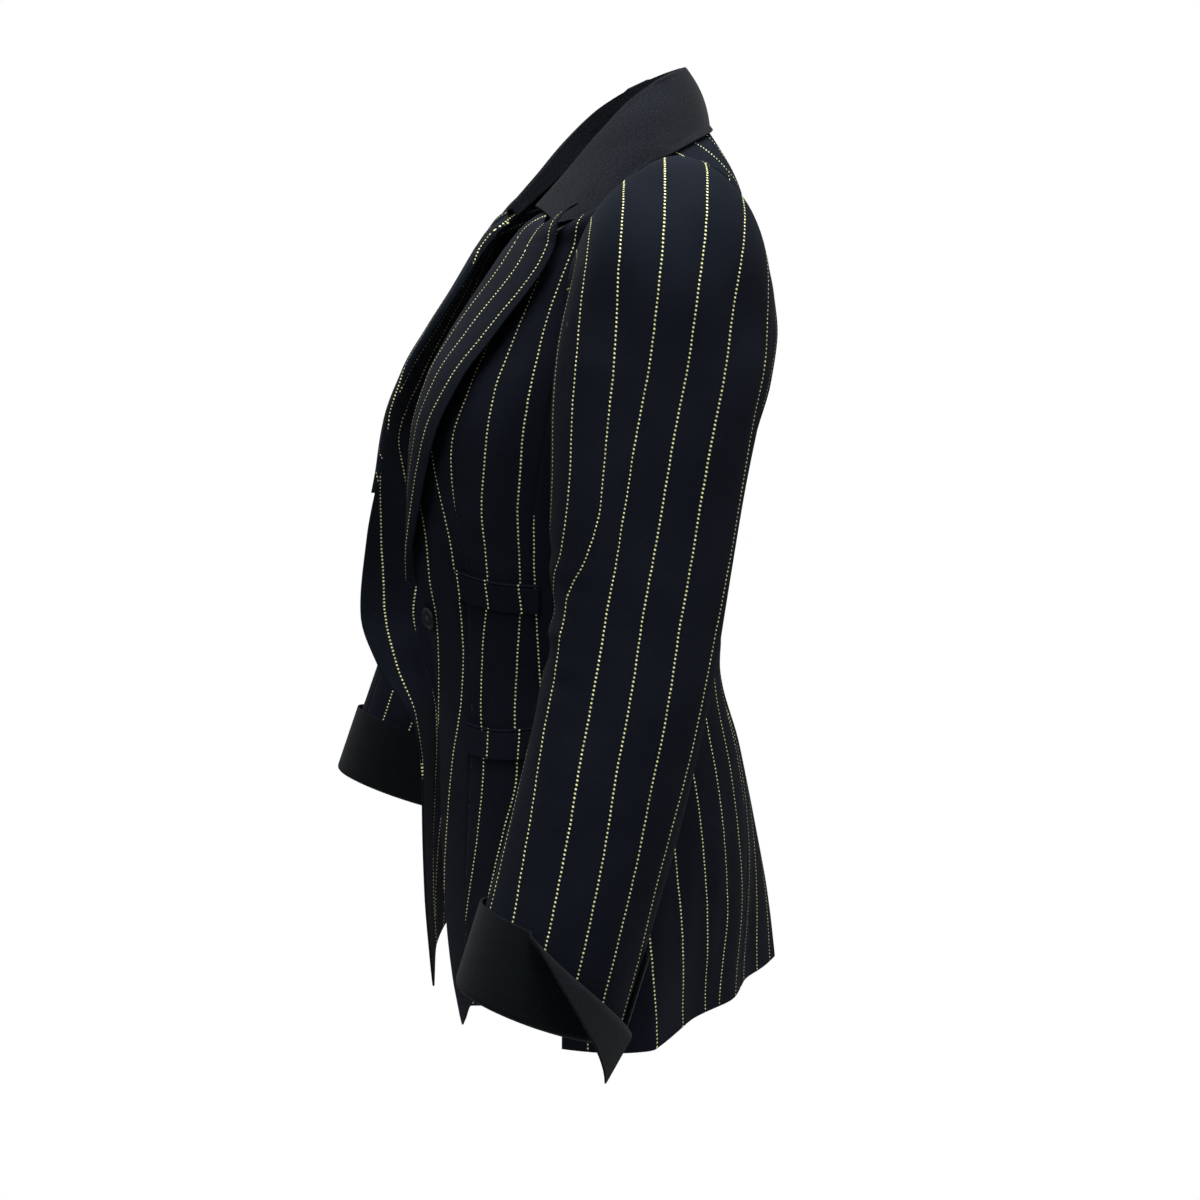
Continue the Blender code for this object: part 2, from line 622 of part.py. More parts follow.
def cuff_surface(side, around, rise):
    """The turned-back cuff: from under the sleeve's hem, round its fold and up.

    Towards the slit the band leans out and drops over itself, along a slanting roll.
    """
    around, rise = np.broadcast_arrays(np.asarray(around, float), np.asarray(rise, float))
    one = np.ones_like(around)
    hem = sleeve_surface(side, one, around)
    up = unit(sleeve_surface(side, one * 0.97, around) - hem)
    tangent = sleeve_surface(side, one, around + 2) - sleeve_surface(side, one, around - 2)
    out = unit(np.cross(up, unit(tangent))) * side
    from_slit = (around - (SLIT_AT + SLIT_WIDTH / 2)) / (FLAP_FROM - SLIT_AT)
    roll_height = CUFF_HEIGHT * np.where(from_slit < 1, 0.10 + 0.90 * from_slit, 3.0)
    dropped = unit(np.array(FLAP_WAY) * np.array([side, 1, 1]))
    place = hem - up * (THIN + CUFF_GAP) - out * CLOTH
    travelled = np.zeros_like(rise)
    stride = rise * (CUFF_HEIGHT + FOLD_WIDTH) / CUFF_STRIDES
    for _ in range(CUFF_STRIDES):
        folding = ease(travelled / FOLD_WIDTH)
        direction = out * (1 - folding)[..., None] + up * folding[..., None]
        over = ease((travelled - FOLD_WIDTH - roll_height + ROLL_WIDTH / 2) / ROLL_WIDTH)
        direction = unit(direction * (1 - over)[..., None] + dropped * over[..., None]
                         + out * (over * (1 - over) * 1.6)[..., None])
        place = place + direction * stride[..., None]
        travelled = travelled + stride
    return place


def cuff(side):
    start = SLIT_AT + SLIT_WIDTH / 2
    end = SLIT_AT + 360 - SLIT_WIDTH / 2
    cols = np.concatenate([np.linspace(start, FLAP_FROM, 9), np.linspace(FLAP_FROM, end, 17)[1:]])
    rise, around = grid([0, 0.07, 0.15, 0.36, 0.57, 0.78, 1.0], cols)
    outward = normal_of(lambda a, b: cuff_surface(side, b, a), rise, around, 0.01, 1.0) * -side
    add_wall(f"cuff_{side_name(side)}", cuff_surface(side, around, rise), outward, THIN,
             (0, 0, 0, 0), PLAIN, side)


def lapel_surface(side, across, along):
    """A lapel, from the roll line at across 0 to its edge, and from the break up to the gorge."""
    across, along = np.broadcast_arrays(np.asarray(across, float), np.asarray(along, float))
    ring = blend(BREAK_Z[side], FRONT_RISE.at(NECK_AT, "z"), along)
    roll_x = front_edge(side).at(ring, "x")
    roll = np.stack([ring - shoulder_drop(roll_x, ring), roll_x, np.zeros_like(along)], -1)
    outer = LAPEL_EDGE.point(along, "z", "x", "stand")
    if side == RIGHT:
        opened = (1 - ease(along / 0.75))[..., None]
        outer = outer + opened * np.array([BREAK_Z[RIGHT] - BREAK_Z[LEFT], RIGHT_LAPEL_DROP, 0])
    gorge = GORGE.point(across, "z", "x", "stand")
    straight = blend(GORGE.point(np.zeros_like(across), "z", "x", "stand"),
                     GORGE.point(np.ones_like(across), "z", "x", "stand"), across[..., None])
    place = blend(roll, outer, across[..., None]) + (gorge - straight) * (along ** 4)[..., None]
    z, x, stand = place[..., 0], place[..., 1], place[..., 2]
    ring = ring_through(x, z)
    crown = LAPEL_CROWN * np.sin(math.pi * np.clip(across, 0, 1))
    return cloth(side, around_of(x, ring), ring, stand + crown + THIN + LAPEL_GAP)


def lapel(side):
    along, across = grid(np.linspace(0.02, 1, 17), np.linspace(0, 1, 8))
    outward = normal_of(lambda a, b: lapel_surface(side, b, a), along, across, 0.004, 0.01)
    add_wall(f"lapel_{side_name(side)}", lapel_surface(side, across, along), outward * -side, THIN,
             (0, SEAM_GAP, 0, 0), WOOL, side)


def collar_line(table, along):
    """A collar line on both sides: along runs from -1 at the right gorge to 1 at the left."""
    near = table.point(np.abs(along), "x", "y", "z")
    return near * np.stack([np.sign(along), np.ones_like(along), np.ones_like(along)], -1)


def collar_leaf_surface(along, down):
    along, down = np.broadcast_arrays(np.asarray(along, float), np.asarray(down, float))
    fold, edge = collar_line(COLLAR_FOLD, along), collar_line(COLLAR_LEAF, along)
    place = blend(fold, edge, down[..., None])
    outward = unit((edge - fold) * np.array([1, 1, 0]))
    lifted = np.array([0, 0, 0.55]) + outward * 0.85
    crown = COLLAR_BULGE * np.sin(math.pi * np.clip(down, 0, 1)) ** 0.8
    return clear_of_body(place + lifted * crown[..., None], COLLAR_STAND_OFF)


def collar_stand_surface(along, up):
    """The neck's side of the collar, inside the leaf and clear of its wall."""
    along, up = np.broadcast_arrays(np.asarray(along, float), np.asarray(up, float))
    seam, fold = collar_line(COLLAR_SEAM, along), collar_line(COLLAR_FOLD, along)
    place = blend(seam, fold, up[..., None])
    inward = -unit((place - np.array([0, COLLAR_MIDDLE_Y, 0])) * np.array([1, 1, 0]))
    return place + inward * COLLAR_DEPTH


def collar():
    cols = np.linspace(-1, 1, 27)
    down, along = grid([0, 0.12, 0.3, 0.5, 0.75, 1.0], cols)
    outward = -normal_of(lambda a, b: collar_leaf_surface(b, a), down, along, 0.01, 0.005)
    add_wall("collar", collar_leaf_surface(along, down), outward, THIN,
             (0, 0, SEAM_GAP, SEAM_GAP), PLAIN, LEFT)
    up, along = grid([0.02, 0.5, 0.97], cols)
    outward = -normal_of(lambda a, b: collar_stand_surface(b, a), up, along, 0.01, 0.005)
    add_wall("collar_stand", collar_stand_surface(along, up), outward, THIN,
             (0, 0, SEAM_GAP, SEAM_GAP), PLAIN, LEFT)


def welt_surface(side, kind, across, down):
    """A welt over its front: across runs away from the opening, down is in metres."""
    size = WELTS[kind]
    around = blend(size["start"], size["end"], across)
    top = blend(size["z_start"], size["z_end"], across) - WELT_BOW * np.sin(math.pi * across)
    stand = CURLED_WELT_STAND if (side, kind) == (RIGHT, "lower") else WELT_STAND
    return cloth(side, around, top - down, stand + THIN)


def welt(side, kind):
    """A pocket's welt and, above it, the thin jet of the pocket's mouth."""
    strips = {"welt": np.linspace(0, WELTS[kind]["height"], 3),
              "jet": np.array([-SEAM_GAP - JET_HEIGHT, -SEAM_GAP])}
    for name, rows in strips.items():
        down, across = grid(rows, np.linspace(0, 1, 9))
        outward = normal_of(lambda a, b: welt_surface(side, kind, b, a), down, across, 0.001, 0.01)
        add_wall(f"{name}_{kind}_{side_name(side)}", welt_surface(side, kind, across, down),
                 outward * side, THIN, (0, 0, 0, 0), WOOL, -side)


def button_mesh():
    """A flat button turned about its axis: a dished face inside a raised rim."""
    r, h = BUTTON_RADIUS, BUTTON_THICK
    profile = [(r * 0.80, 0.0), (r * 0.96, h * 0.35), (r, h * 0.65), (r * 0.94, h),
               (r * 0.80, h * 0.92), (r * 0.70, h * 0.62)]
    points = [(0, 0, 0)]
    for radius, height in profile:
        for k in range(BUTTON_SIDES):
            turn = 2 * math.pi * k / BUTTON_SIDES
            points.append((radius * math.cos(turn), radius * math.sin(turn), height))
    points.append((0, 0, h * 0.62))
    after = [(k + 1) % BUTTON_SIDES for k in range(BUTTON_SIDES)]
    faces = [(0, 1 + after[k], 1 + k) for k in range(BUTTON_SIDES)]
    for ring in range(len(profile) - 1):
        a, b = 1 + ring * BUTTON_SIDES, 1 + (ring + 1) * BUTTON_SIDES
        faces += [(a + k, a + after[k], b + after[k], b + k) for k in range(BUTTON_SIDES)]
    last, top = 1 + (len(profile) - 1) * BUTTON_SIDES, len(points) - 1
    faces += [(last + k, last + after[k], top) for k in range(BUTTON_SIDES)]
    return points, faces


def button():
    """The button, laid on the left front, with its holes cut through."""
    points, faces = button_mesh()
    turned = add_mesh("button_left", points, faces, HORN)
    centre = cloth(LEFT, BUTTON_AROUND, BUTTON_Z, BUTTON_GAP)
    level = cloth(LEFT, BUTTON_AROUND + 2, BUTTON_Z) - cloth(LEFT, BUTTON_AROUND - 2, BUTTON_Z)
    rising = cloth(LEFT, BUTTON_AROUND, BUTTON_Z + 0.006)
    rising = rising - cloth(LEFT, BUTTON_AROUND, BUTTON_Z - 0.006)
    facing = unit(np.cross(level, rising))
    upright = unit(np.cross(facing, level))
    columns = [unit(level), upright, facing, centre]
    laid = Matrix([[*(float(c[i]) for c in columns)] for i in range(3)] + [[0, 0, 0, 1]])
    turned.data.transform(laid)
    for k in range(BUTTON_HOLES):
        turn = math.pi / 4 + 2 * math.pi * k / BUTTON_HOLES
        bpy.ops.mesh.primitive_cylinder_add(
            vertices=8, radius=BUTTON_HOLE_RADIUS, depth=BUTTON_THICK * 3,
            location=(math.cos(turn) * BUTTON_HOLES_OUT, math.sin(turn) * BUTTON_HOLES_OUT, 0))
        cutter = bpy.context.object
        cutter.name = f"button_hole_cutter_{k}"
        cutter.data.transform(laid @ cutter.matrix_basis)
        cutter.matrix_basis = Matrix()
        cutter.hide_render = True
        cutter.display_type = "WIRE"
        cut = turned.modifiers.new(f"hole_{k}", "BOOLEAN")
        cut.operation, cut.solver, cut.object = "DIFFERENCE", "EXACT", cutter


def main():
    for thing in list(bpy.data.objects):
        bpy.data.objects.remove(thing, do_unlink=True)
    for side in (LEFT, RIGHT):
        body_panels(side)
        sleeve(side)
        cuff(side)
        lapel(side)
        for kind in WELTS:
            welt(side, kind)
    collar()
    button()


main()
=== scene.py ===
# %% [markdown]
# A tailored blazer, shown as it is worn. Its main parts were already built as plain solids, and
# this lesson dresses them: every piece of cloth is made again as a fine shell on the same form,
# with rounded edges, sewn seams, soft creases and a woven pinstripe.
#
# The solids are loaded first.

# %% Load the plain blazer
import math

import bpy
import numpy as np
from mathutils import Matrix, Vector


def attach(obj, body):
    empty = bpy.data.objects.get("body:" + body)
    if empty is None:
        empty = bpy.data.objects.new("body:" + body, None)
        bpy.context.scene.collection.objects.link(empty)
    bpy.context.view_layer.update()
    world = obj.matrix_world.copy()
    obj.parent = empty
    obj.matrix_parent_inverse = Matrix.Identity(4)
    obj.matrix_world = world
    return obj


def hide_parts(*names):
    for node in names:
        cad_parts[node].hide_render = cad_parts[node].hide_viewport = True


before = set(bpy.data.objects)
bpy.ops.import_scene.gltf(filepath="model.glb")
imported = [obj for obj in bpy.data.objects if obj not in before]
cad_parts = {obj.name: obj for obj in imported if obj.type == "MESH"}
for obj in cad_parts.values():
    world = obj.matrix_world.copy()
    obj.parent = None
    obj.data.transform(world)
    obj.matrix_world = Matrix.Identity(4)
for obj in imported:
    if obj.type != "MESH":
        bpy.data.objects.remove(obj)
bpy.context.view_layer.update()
LEFT, RIGHT = 1, -1

# %% [markdown]
# A tailor describes a figure by a few sections: how wide and how deep it is at each height. The
# same is done here. A table has named columns and one row per line, and is read smoothly between
# its rows, so the whole jacket can be adjusted by changing one number.

# %% Tables that are read smoothly
class Table:
    """Rows with named columns, read smoothly along the first column."""

    def __init__(self, names, rows):
        self.names = names.split()
        columns = np.array(rows.split(), float).reshape(-1, len(self.names)).T
        self.values = dict(zip(self.names, columns))

    def rows(self):
        return zip(*self.values.values())

    def at(self, key, name):
        return smooth(self.values[self.names[0]], self.values[name], key)

    def point(self, key, *names):
        return np.stack([self.at(key, name) for name in names], -1)


def smooth(knots, values, key):
    """A monotone cubic through the knots, straight beyond both ends."""
    key = np.asarray(key, float)
    step = np.diff(knots)
    rise = np.diff(values) / step
    before, after = rise[:-1], rise[1:]
    same = before * after > 0
    weight_a = 2 * step[1:] + step[:-1]
    weight_b = step[1:] + 2 * step[:-1]
    safe_before = np.where(same, before, 1.0)
    safe_after = np.where(same, after, 1.0)
    inner = (weight_a + weight_b) / (weight_a / safe_before + weight_b / safe_after)
    slope = np.concatenate([rise[:1], np.where(same, inner, 0.0), rise[-1:]])
    i = np.clip(np.searchsorted(knots, key, side="right") - 1, 0, len(step) - 1)
    h = step[i]
    t = np.clip((key - knots[i]) / h, 0, 1)
    beyond = key - knots[i] - t * h
    curve = (values[i] * (1 + 2 * t) * (1 - t) ** 2 + slope[i] * h * t * (1 - t) ** 2
             + values[i + 1] * t * t * (3 - 2 * t) + slope[i + 1] * h * t * t * (t - 1))
    return curve + beyond * np.where(beyond < 0, slope[0], slope[-1])


def ease(t):
    t = np.clip(t, 0, 1)
    return t * t * (3 - 2 * t)


def unit(v):
    return v / np.maximum(np.linalg.norm(v, axis=-1, keepdims=True), 1e-12)


def blend(a, b, share):
    return a * (1 - share) + b * share


def arrays(*values):
    """The values as arrays of numbers that all have one shape."""
    return np.broadcast_arrays(*(np.asarray(value, float) for value in values))

# %% [markdown]
# The worn body of the blazer: narrow at the waist, full over the hips, with the back running to a
# soft point at the hem. half_width is at the sides, front and back are depths, and the roundness
# is 2 for an ellipse, more for a boxier section and towards 1 for a pointed one.

# %% The body's sections
BODY = Table("z half_width centre_y front back front_round back_round", """
-0.740 0.203 0.000 0.133 0.158 2.2 1.03
-0.700 0.198 0.000 0.138 0.155 2.2 1.05
-0.640 0.187 0.000 0.143 0.147 2.3 1.22
-0.570 0.173 0.000 0.146 0.132 2.3 1.55
-0.500 0.159 0.000 0.147 0.114 2.3 1.90
-0.430 0.149 0.000 0.150 0.095 2.3 2.10
-0.360 0.151 0.000 0.153 0.096 2.4 2.20
-0.300 0.156 0.002 0.155 0.105 2.6 2.25
-0.240 0.161 0.004 0.156 0.118 2.8 2.30
-0.200 0.166 0.006 0.150 0.127 2.7 2.35
-0.165 0.172 0.008 0.137 0.129 2.5 2.40
-0.130 0.180 0.010 0.119 0.123 2.4 2.40
-0.095 0.187 0.013 0.101 0.111 2.4 2.30
-0.060 0.193 0.015 0.077 0.097 3.0 2.30
-0.041 0.192 0.016 0.046 0.090 3.0 2.20
-0.030 0.190 0.017 0.037 0.087 3.0 2.20
-0.010 0.137 0.018 0.026 0.076 2.6 2.10
0.010 0.078 0.020 0.018 0.060 2.2 2.00
0.020 0.052 0.022 0.013 0.040 2.0 2.00""")

# %% [markdown]
# The shoulder falls away beside the neck and comes back level towards its padded end.

# %% The shoulder's drop
SHOULDER_DROP = Table("x drop", """
0.000 0.000
0.030 0.005
0.050 0.012
0.075 0.022
0.095 0.031
0.112 0.034
0.130 0.029
0.160 0.014
0.190 0.000""")
DROP_FROM, DROP_FULL = -0.100, -0.025        # the heights between which the drop sets in
SHOULDER_END = 0.19
NECK_TOP = 0.020

# %% [markdown]
# The seams. A blazer gets its shape from long seams that run down it, so each is a table of
# heights and of angles round the body: 0 is the centre front, 90 the side, 180 the centre back.

# %% The seams and the armhole
SIDE_FRONT_SEAM = Table("along z around", """
0.00 -0.682 69.0
0.30 -0.540 66.0
0.55 -0.420 60.0
0.75 -0.320 59.0
0.90 -0.235 62.5
1.00 -0.165 66.0""")
SIDE_BACK_SEAM = Table("along z around", """
0.00 -0.702 146.0
0.30 -0.545 144.0
0.55 -0.420 140.0
0.75 -0.320 134.0
0.90 -0.235 124.0
1.00 -0.165 115.0""")
SIDE_HEM_Z = -0.707       # the side panel's hem at the side-front seam, below the front's hem
SIDE_FOOT_Z, SIDE_TALL = -0.70, 0.535

# Once round the armhole from the shoulder point: front, underarm, back.
ARMHOLE = Table("turn z around", """
-0.125 -0.060 106.0
0.000 -0.030 90.0
0.125 -0.062 74.5
0.250 -0.118 66.0
0.375 -0.165 66.0
0.500 -0.192 90.0
0.625 -0.165 115.0
0.750 -0.112 114.0
0.875 -0.060 106.0
1.000 -0.030 90.0
1.125 -0.062 74.5""")

# %% [markdown]
# The open edges. Along its inner edge a front stands off the body in a soft roll; on the right it
# curls well out. lift is how far, and reach is how many degrees round the body the roll carries.

# %% The inner edges of the fronts
LEFT_EDGE = Table("z x lift reach", """
-0.722 0.060 -0.003 30.0
-0.708 0.055 -0.003 30.0
-0.685 0.052 -0.002 30.0
-0.540 0.050 0.000 30.0
-0.440 0.049 0.001 24.0
-0.385 0.048 0.004 22.0
-0.350 0.045 0.013 22.0
-0.290 0.045 0.013 22.0
-0.205 0.052 0.009 20.0
-0.145 0.057 0.006 20.0
-0.100 0.060 0.002 18.0
-0.065 0.063 0.000 18.0
-0.025 0.066 0.000 18.0
0.010 0.078 0.000 18.0""")
RIGHT_EDGE = Table("z x lift reach", """
-0.720 0.052 0.004 30.0
-0.650 0.052 0.003 30.0
-0.540 0.054 0.002 30.0
-0.490 0.056 0.010 34.0
-0.445 0.060 0.038 38.0
-0.400 0.064 0.052 40.0
-0.335 0.066 0.042 40.0
-0.270 0.066 0.026 38.0
-0.205 0.062 0.013 32.0
-0.145 0.058 0.005 26.0
-0.100 0.060 0.002 20.0
-0.065 0.063 0.000 18.0
-0.025 0.066 0.000 18.0
0.010 0.078 0.000 18.0""")

# Heights of the two inner edges against the steps of a panel.
NECK_AT = 1 + 6 / 9
FRONT_RISE = Table("along z", f"""
0.00 -0.722
1.00 -0.205
1.30 -0.140
{NECK_AT} -0.049
1.85 -0.015
2.00 0.010""")
BACK_RISE = Table("along z", f"""
0.00 -0.698
1.00 -0.165
{NECK_AT} 0.012
2.00 0.010""")

FRONT_HEM = Table("across rise", """
0.00 0.000
0.10 0.005
0.25 0.016
0.60 0.014
1.00 0.000""")

# Soft flutes of the skirt: where round the body, width in degrees, depth, where they fade. All
# are full near the hem.
FLUTES_FULL_Z = -0.70
FLUTES = Table("around width depth fade_z", """
84.0 10.0 0.004 -0.50
108.0 11.0 -0.006 -0.48
133.0 10.0 0.005 -0.47
157.0 9.0 -0.004 -0.50""")

# %% [markdown]
# Any point of the body can now be found from an angle and a height. Everything that lies on the
# body uses these few functions, so a lapel or a pocket follows the cloth under it.

# %% Points of the worn body
ARMHOLE_STEPS = 24
FRONT_STEPS = 9
FRONT_SEAM_AT = FRONT_STEPS / ARMHOLE_STEPS  # the side-front seam's place round the armhole
STEP_AROUND, STEP_Z = 0.8, 0.002  # degrees and metres, for the slope of the body at a point
HEM_REACH = 0.3           # how far up a front its hem's curve is felt


def shoulder_drop(x, z):
    share = ease((z - DROP_FROM) / (DROP_FULL - DROP_FROM))
    return SHOULDER_DROP.at(np.clip(np.abs(x), 0, SHOULDER_END), "drop") * share


def radius_of(around, z):
    """How far the body is from its middle at an angle round it, on the ring of height z."""
    turn = np.radians(around)
    across, fore = np.abs(np.sin(turn)), -np.cos(turn)
    depth = np.where(fore < 0, BODY.at(z, "front"), BODY.at(z, "back"))
    power = np.where(fore < 0, BODY.at(z, "front_round"), BODY.at(z, "back_round"))
    width = BODY.at(z, "half_width")
    radius = ((across / width) ** power + (np.abs(fore) / depth) ** power) ** (-1 / power)
    return radius + flutes(around, z)


def body(side, around, z):
    """The point of the worn body at an angle round it, on the ring of height z."""
    around, z = arrays(around, z)
    turn = np.radians(around)
    radius = radius_of(around, z)
    x = radius * np.sin(turn)
    y = BODY.at(z, "centre_y") - radius * np.cos(turn)
    return np.stack([side * x, y, z - shoulder_drop(x, z)], -1)


def ring_through(x, z):
    """The height of the ring that passes at x and, after the shoulder's drop, at height z."""
    ring = z
    for _ in range(30):
        ring = z + shoulder_drop(x, ring)
    return ring


def height_off(point):
    """Roughly how far a point lies outside the body, and the way straight out of it."""
    def excess(place):
        x, z = np.abs(place[..., 0]), place[..., 2]
        ring = np.minimum(ring_through(x, z), NECK_TOP)
        back = place[..., 1] - BODY.at(ring, "centre_y")
        return np.hypot(x, back) - radius_of(np.degrees(np.arctan2(x, -back)), ring)

    small = 0.0005
    steps = small * np.eye(3)
    slope = np.stack([(excess(point + s) - excess(point - s)) / (2 * small) for s in steps], -1)
    size = np.linalg.norm(slope, axis=-1, keepdims=True)
    return excess(point) / size[..., 0], slope / size


def clear_of_body(point, stand):
    """The point, moved out of the body until it is at least stand away from it."""
    for _ in range(4):
        distance, outward = height_off(point)
        point = point + outward * np.clip(stand - distance, 0, 0.010)[..., None]
    return point


def flutes(around, z):
    total = np.zeros_like(around)
    for where, width, depth, fade in FLUTES.rows():
        grow = ease((fade - z) / (fade - FLUTES_FULL_Z))
        total = total + depth * grow * np.exp(-((around - where) / width) ** 2)
    return total


def around_of(x, z):
    """The angle round the front of the body at which it is x wide."""
    low, high = np.zeros_like(z), np.full_like(z, 90.0)
    for _ in range(40):
        middle = (low + high) / 2
        wide = body(LEFT, middle, z)[..., 0] > x
        low, high = np.where(wide, low, middle), np.where(wide, middle, high)
    return (low + high) / 2


def normal_of(surface, a, b, step_a, step_b):
    """The outward normal of surface(a, b), by central differences."""
    along_a = surface(a + step_a, b) - surface(a - step_a, b)
    along_b = surface(a, b + step_b) - surface(a, b - step_b)
    return unit(np.cross(along_a, along_b))


def raise_off(side, around, z, lift):
    """The body's point moved straight out by lift."""
    point = body(side, around, z)
    normal = normal_of(lambda a, h: body(side, a, h), around, z, STEP_AROUND, STEP_Z) * side
    return point + normal * np.asarray(lift)[..., None]


def front_edge(side):
    return LEFT_EDGE if side == LEFT else RIGHT_EDGE


def cloth(side, around, z, stand=0.0):
    """The jacket's outer face: the body, with the soft roll along each front's inner edge."""
    around, z = arrays(around, z)
    edge = front_edge(side)
    inner = around_of(edge.at(z, "x"), z)
    roll = np.clip(1 - np.clip(around - inner, 0, None) / edge.at(z, "reach"), 0, 1)
    return raise_off(side, around, z, edge.at(z, "lift") * roll * roll + stand)


def seam_or_armhole(seam, v, turn, name):
    """Along a seam up to the armhole at v 1, and along the armhole from there."""
    return np.where(v < 1, seam.at(np.minimum(v, 1), name), ARMHOLE.at(turn, name))


def seam_place(seam, u, v, turn, around_in, z_in):
    """Where a panel is cut, between its inner edge and its seam or the armhole above that."""
    z = blend(z_in, seam_or_armhole(seam, v, turn, "z"), u)
    return blend(around_in, seam_or_armhole(seam, v, turn, "around"), u), z


def front_place(side, u, v):
    """Where a front is cut: from its inner edge at u 0 to the side-front seam and armhole at 1."""
    z_in = FRONT_RISE.at(v, "z")
    around_in = around_of(front_edge(side).at(z_in, "x"), z_in)
    turn = FRONT_SEAM_AT * (2 - np.maximum(v, 1))
    around, z = seam_place(SIDE_FRONT_SEAM, u, v, turn, around_in, z_in)
    return around, z + FRONT_HEM.at(u, "rise") * np.clip(1 - v / HEM_REACH, 0, 1) ** 2


def back_place(side, u, v):
    """Where a back is cut: from the centre seam at u 0 to the side seam and armhole at u 1."""
    z_in = BACK_RISE.at(v, "z")
    around_in = 180 - 90 * np.clip((v - NECK_AT) / (2 - NECK_AT), 0, 1)
    turn = 1 - FRONT_SEAM_AT * (2 - np.maximum(v, 1))
    return seam_place(SIDE_BACK_SEAM, u, v, turn, around_in, z_in)


def side_place(side, u, v):
    """Where a side panel is cut: from the side-front seam at u 0 to the side-back seam at 1.

    Its hem, at v -1, is a little lower than the front's at their seam.
    """
    along = np.clip(v, 0, None)
    z = blend(SIDE_FRONT_SEAM.at(along, "z"), SIDE_BACK_SEAM.at(along, "z"), u)
    around = blend(SIDE_FRONT_SEAM.at(along, "around"), SIDE_BACK_SEAM.at(along, "around"), u)
    turn = FRONT_SEAM_AT + u * (1 - 2 * FRONT_SEAM_AT)
    top = along ** 6
    z = z + top * (ARMHOLE.at(turn, "z") - ARMHOLE.at(FRONT_SEAM_AT, "z"))
    corners = blend(SIDE_FRONT_SEAM.at(1.0, "around"), SIDE_BACK_SEAM.at(1.0, "around"), u)
    around = around + top * (ARMHOLE.at(turn, "around") - corners)
    below = np.clip(-v, 0, None) * (1 - u)
    return around, z + below * (SIDE_HEM_Z - SIDE_FRONT_SEAM.at(0.0, "z"))

# %% [markdown]
# The sleeves are tubes with a bend at the elbow. The section starts nearly upright at the
# armhole, leans over, and hangs; the right one hangs a little further out and forward.

# %% The sleeves' sections
SLEEVE = Table("along x y z level forward out fore", """
0.00 0.172 0.012 -0.109 0.0 0.0 0.0820 0.0640
0.06 0.192 0.011 -0.111 22.0 0.0 0.0830 0.0700
0.12 0.207 0.008 -0.123 44.0 0.0 0.0770 0.0745
0.19 0.217 0.004 -0.147 66.0 1.0 0.0650 0.0780
0.26 0.223 0.000 -0.178 84.0 2.0 0.0550 0.0800
0.33 0.227 -0.006 -0.212 90.0 4.0 0.0520 0.0775
0.42 0.232 -0.013 -0.262 90.0 5.0 0.0505 0.0725
0.52 0.238 -0.020 -0.320 90.0 6.0 0.0490 0.0680
0.62 0.244 -0.027 -0.376 90.0 9.0 0.0480 0.0645
0.72 0.250 -0.037 -0.432 90.0 13.0 0.0485 0.0630
0.83 0.256 -0.055 -0.500 90.0 17.0 0.0495 0.0620
0.92 0.261 -0.077 -0.573 90.0 19.0 0.0510 0.0615
1.00 0.265 -0.101 -0.645 90.0 20.0 0.0525 0.0620""")
# How far further out, forward and up the right sleeve hangs at its hem; each grows on the way.
RIGHT_SLEEVE_SHIFT = (-0.040, -0.026, 0.042)

# %% [markdown]
# Cloth that is bent presses into soft troughs. Each one below is listed with its own
# size: they gather inside the elbow and where the sleeve's head eases into the armhole.

# %% Creases of the sleeves
SLEEVE_CREASES = Table("along around half_along half_around depth", """
0.595 92.0 0.030 30.0 0.0050
0.655 100.0 0.026 26.0 0.0040
0.210 48.0 0.045 22.0 0.0040
0.215 -40.0 0.045 20.0 0.0035
0.620 200.0 0.040 40.0 0.0040
0.625 84.0 0.012 20.0 -0.0020
0.560 70.0 0.014 26.0 0.0018
0.690 66.0 0.016 24.0 0.0018
0.520 96.0 0.014 20.0 0.0016
0.300 74.0 0.060 10.0 0.0014
0.330 -66.0 0.070 12.0 0.0016
0.440 -40.0 0.090 12.0 0.0012
0.480 20.0 0.100 12.0 0.0010
0.760 30.0 0.080 14.0 0.0014
0.800 -30.0 0.070 12.0 0.0012
0.740 -80.0 0.050 14.0 0.0016
0.860 70.0 0.060 12.0 0.0014""")

# %% Points of a sleeve
ARMHOLE_GAP = 0.0004
SLEEVE_RADIUS = 0.065     # a usual one, to turn the depth of a crease into a share of the section
DRAWN_IN = 0.10           # the part of the sleeve over which it is drawn to the armhole


def sleeve_ring(side, along, around):
    """A point of a sleeve's section before the armhole draws it in."""
    level = np.radians(SLEEVE.at(along, "level"))
    forward = np.radians(SLEEVE.at(along, "forward"))
    turn = np.radians(around)
    centre = SLEEVE.point(along, "x", "y", "z")
    up_or_out = np.stack([np.sin(level), np.zeros_like(level), np.cos(level)], -1)
    ahead = np.stack([np.zeros_like(level), -np.cos(forward), np.sin(forward)], -1)
    out = SLEEVE.at(along, "out") * np.cos(turn)
    fore = SLEEVE.at(along, "fore") * np.sin(turn)
    dent = creases(along, around)
    size = 1 - dent / SLEEVE_RADIUS
    point = centre + (out * size)[..., None] * up_or_out + (fore * size)[..., None] * ahead
    return mirrored(side, point, along)


def mirrored(side, point, along):
    """The left sleeve's point, or the right one's, which hangs a little differently."""
    if side == LEFT:
        return point
    point = point * np.array([-1, 1, 1])
    return point + ease(along)[..., None] * np.array(RIGHT_SLEEVE_SHIFT)


def creases(along, around):
    total = np.zeros_like(along)
    for where, angle, half_along, half_around, depth in SLEEVE_CREASES.rows():
        off = (around - angle + 180) % 360 - 180
        total = total + depth * np.exp(-((along - where) / half_along) ** 2
                                       - (off / half_around) ** 2)
    return total


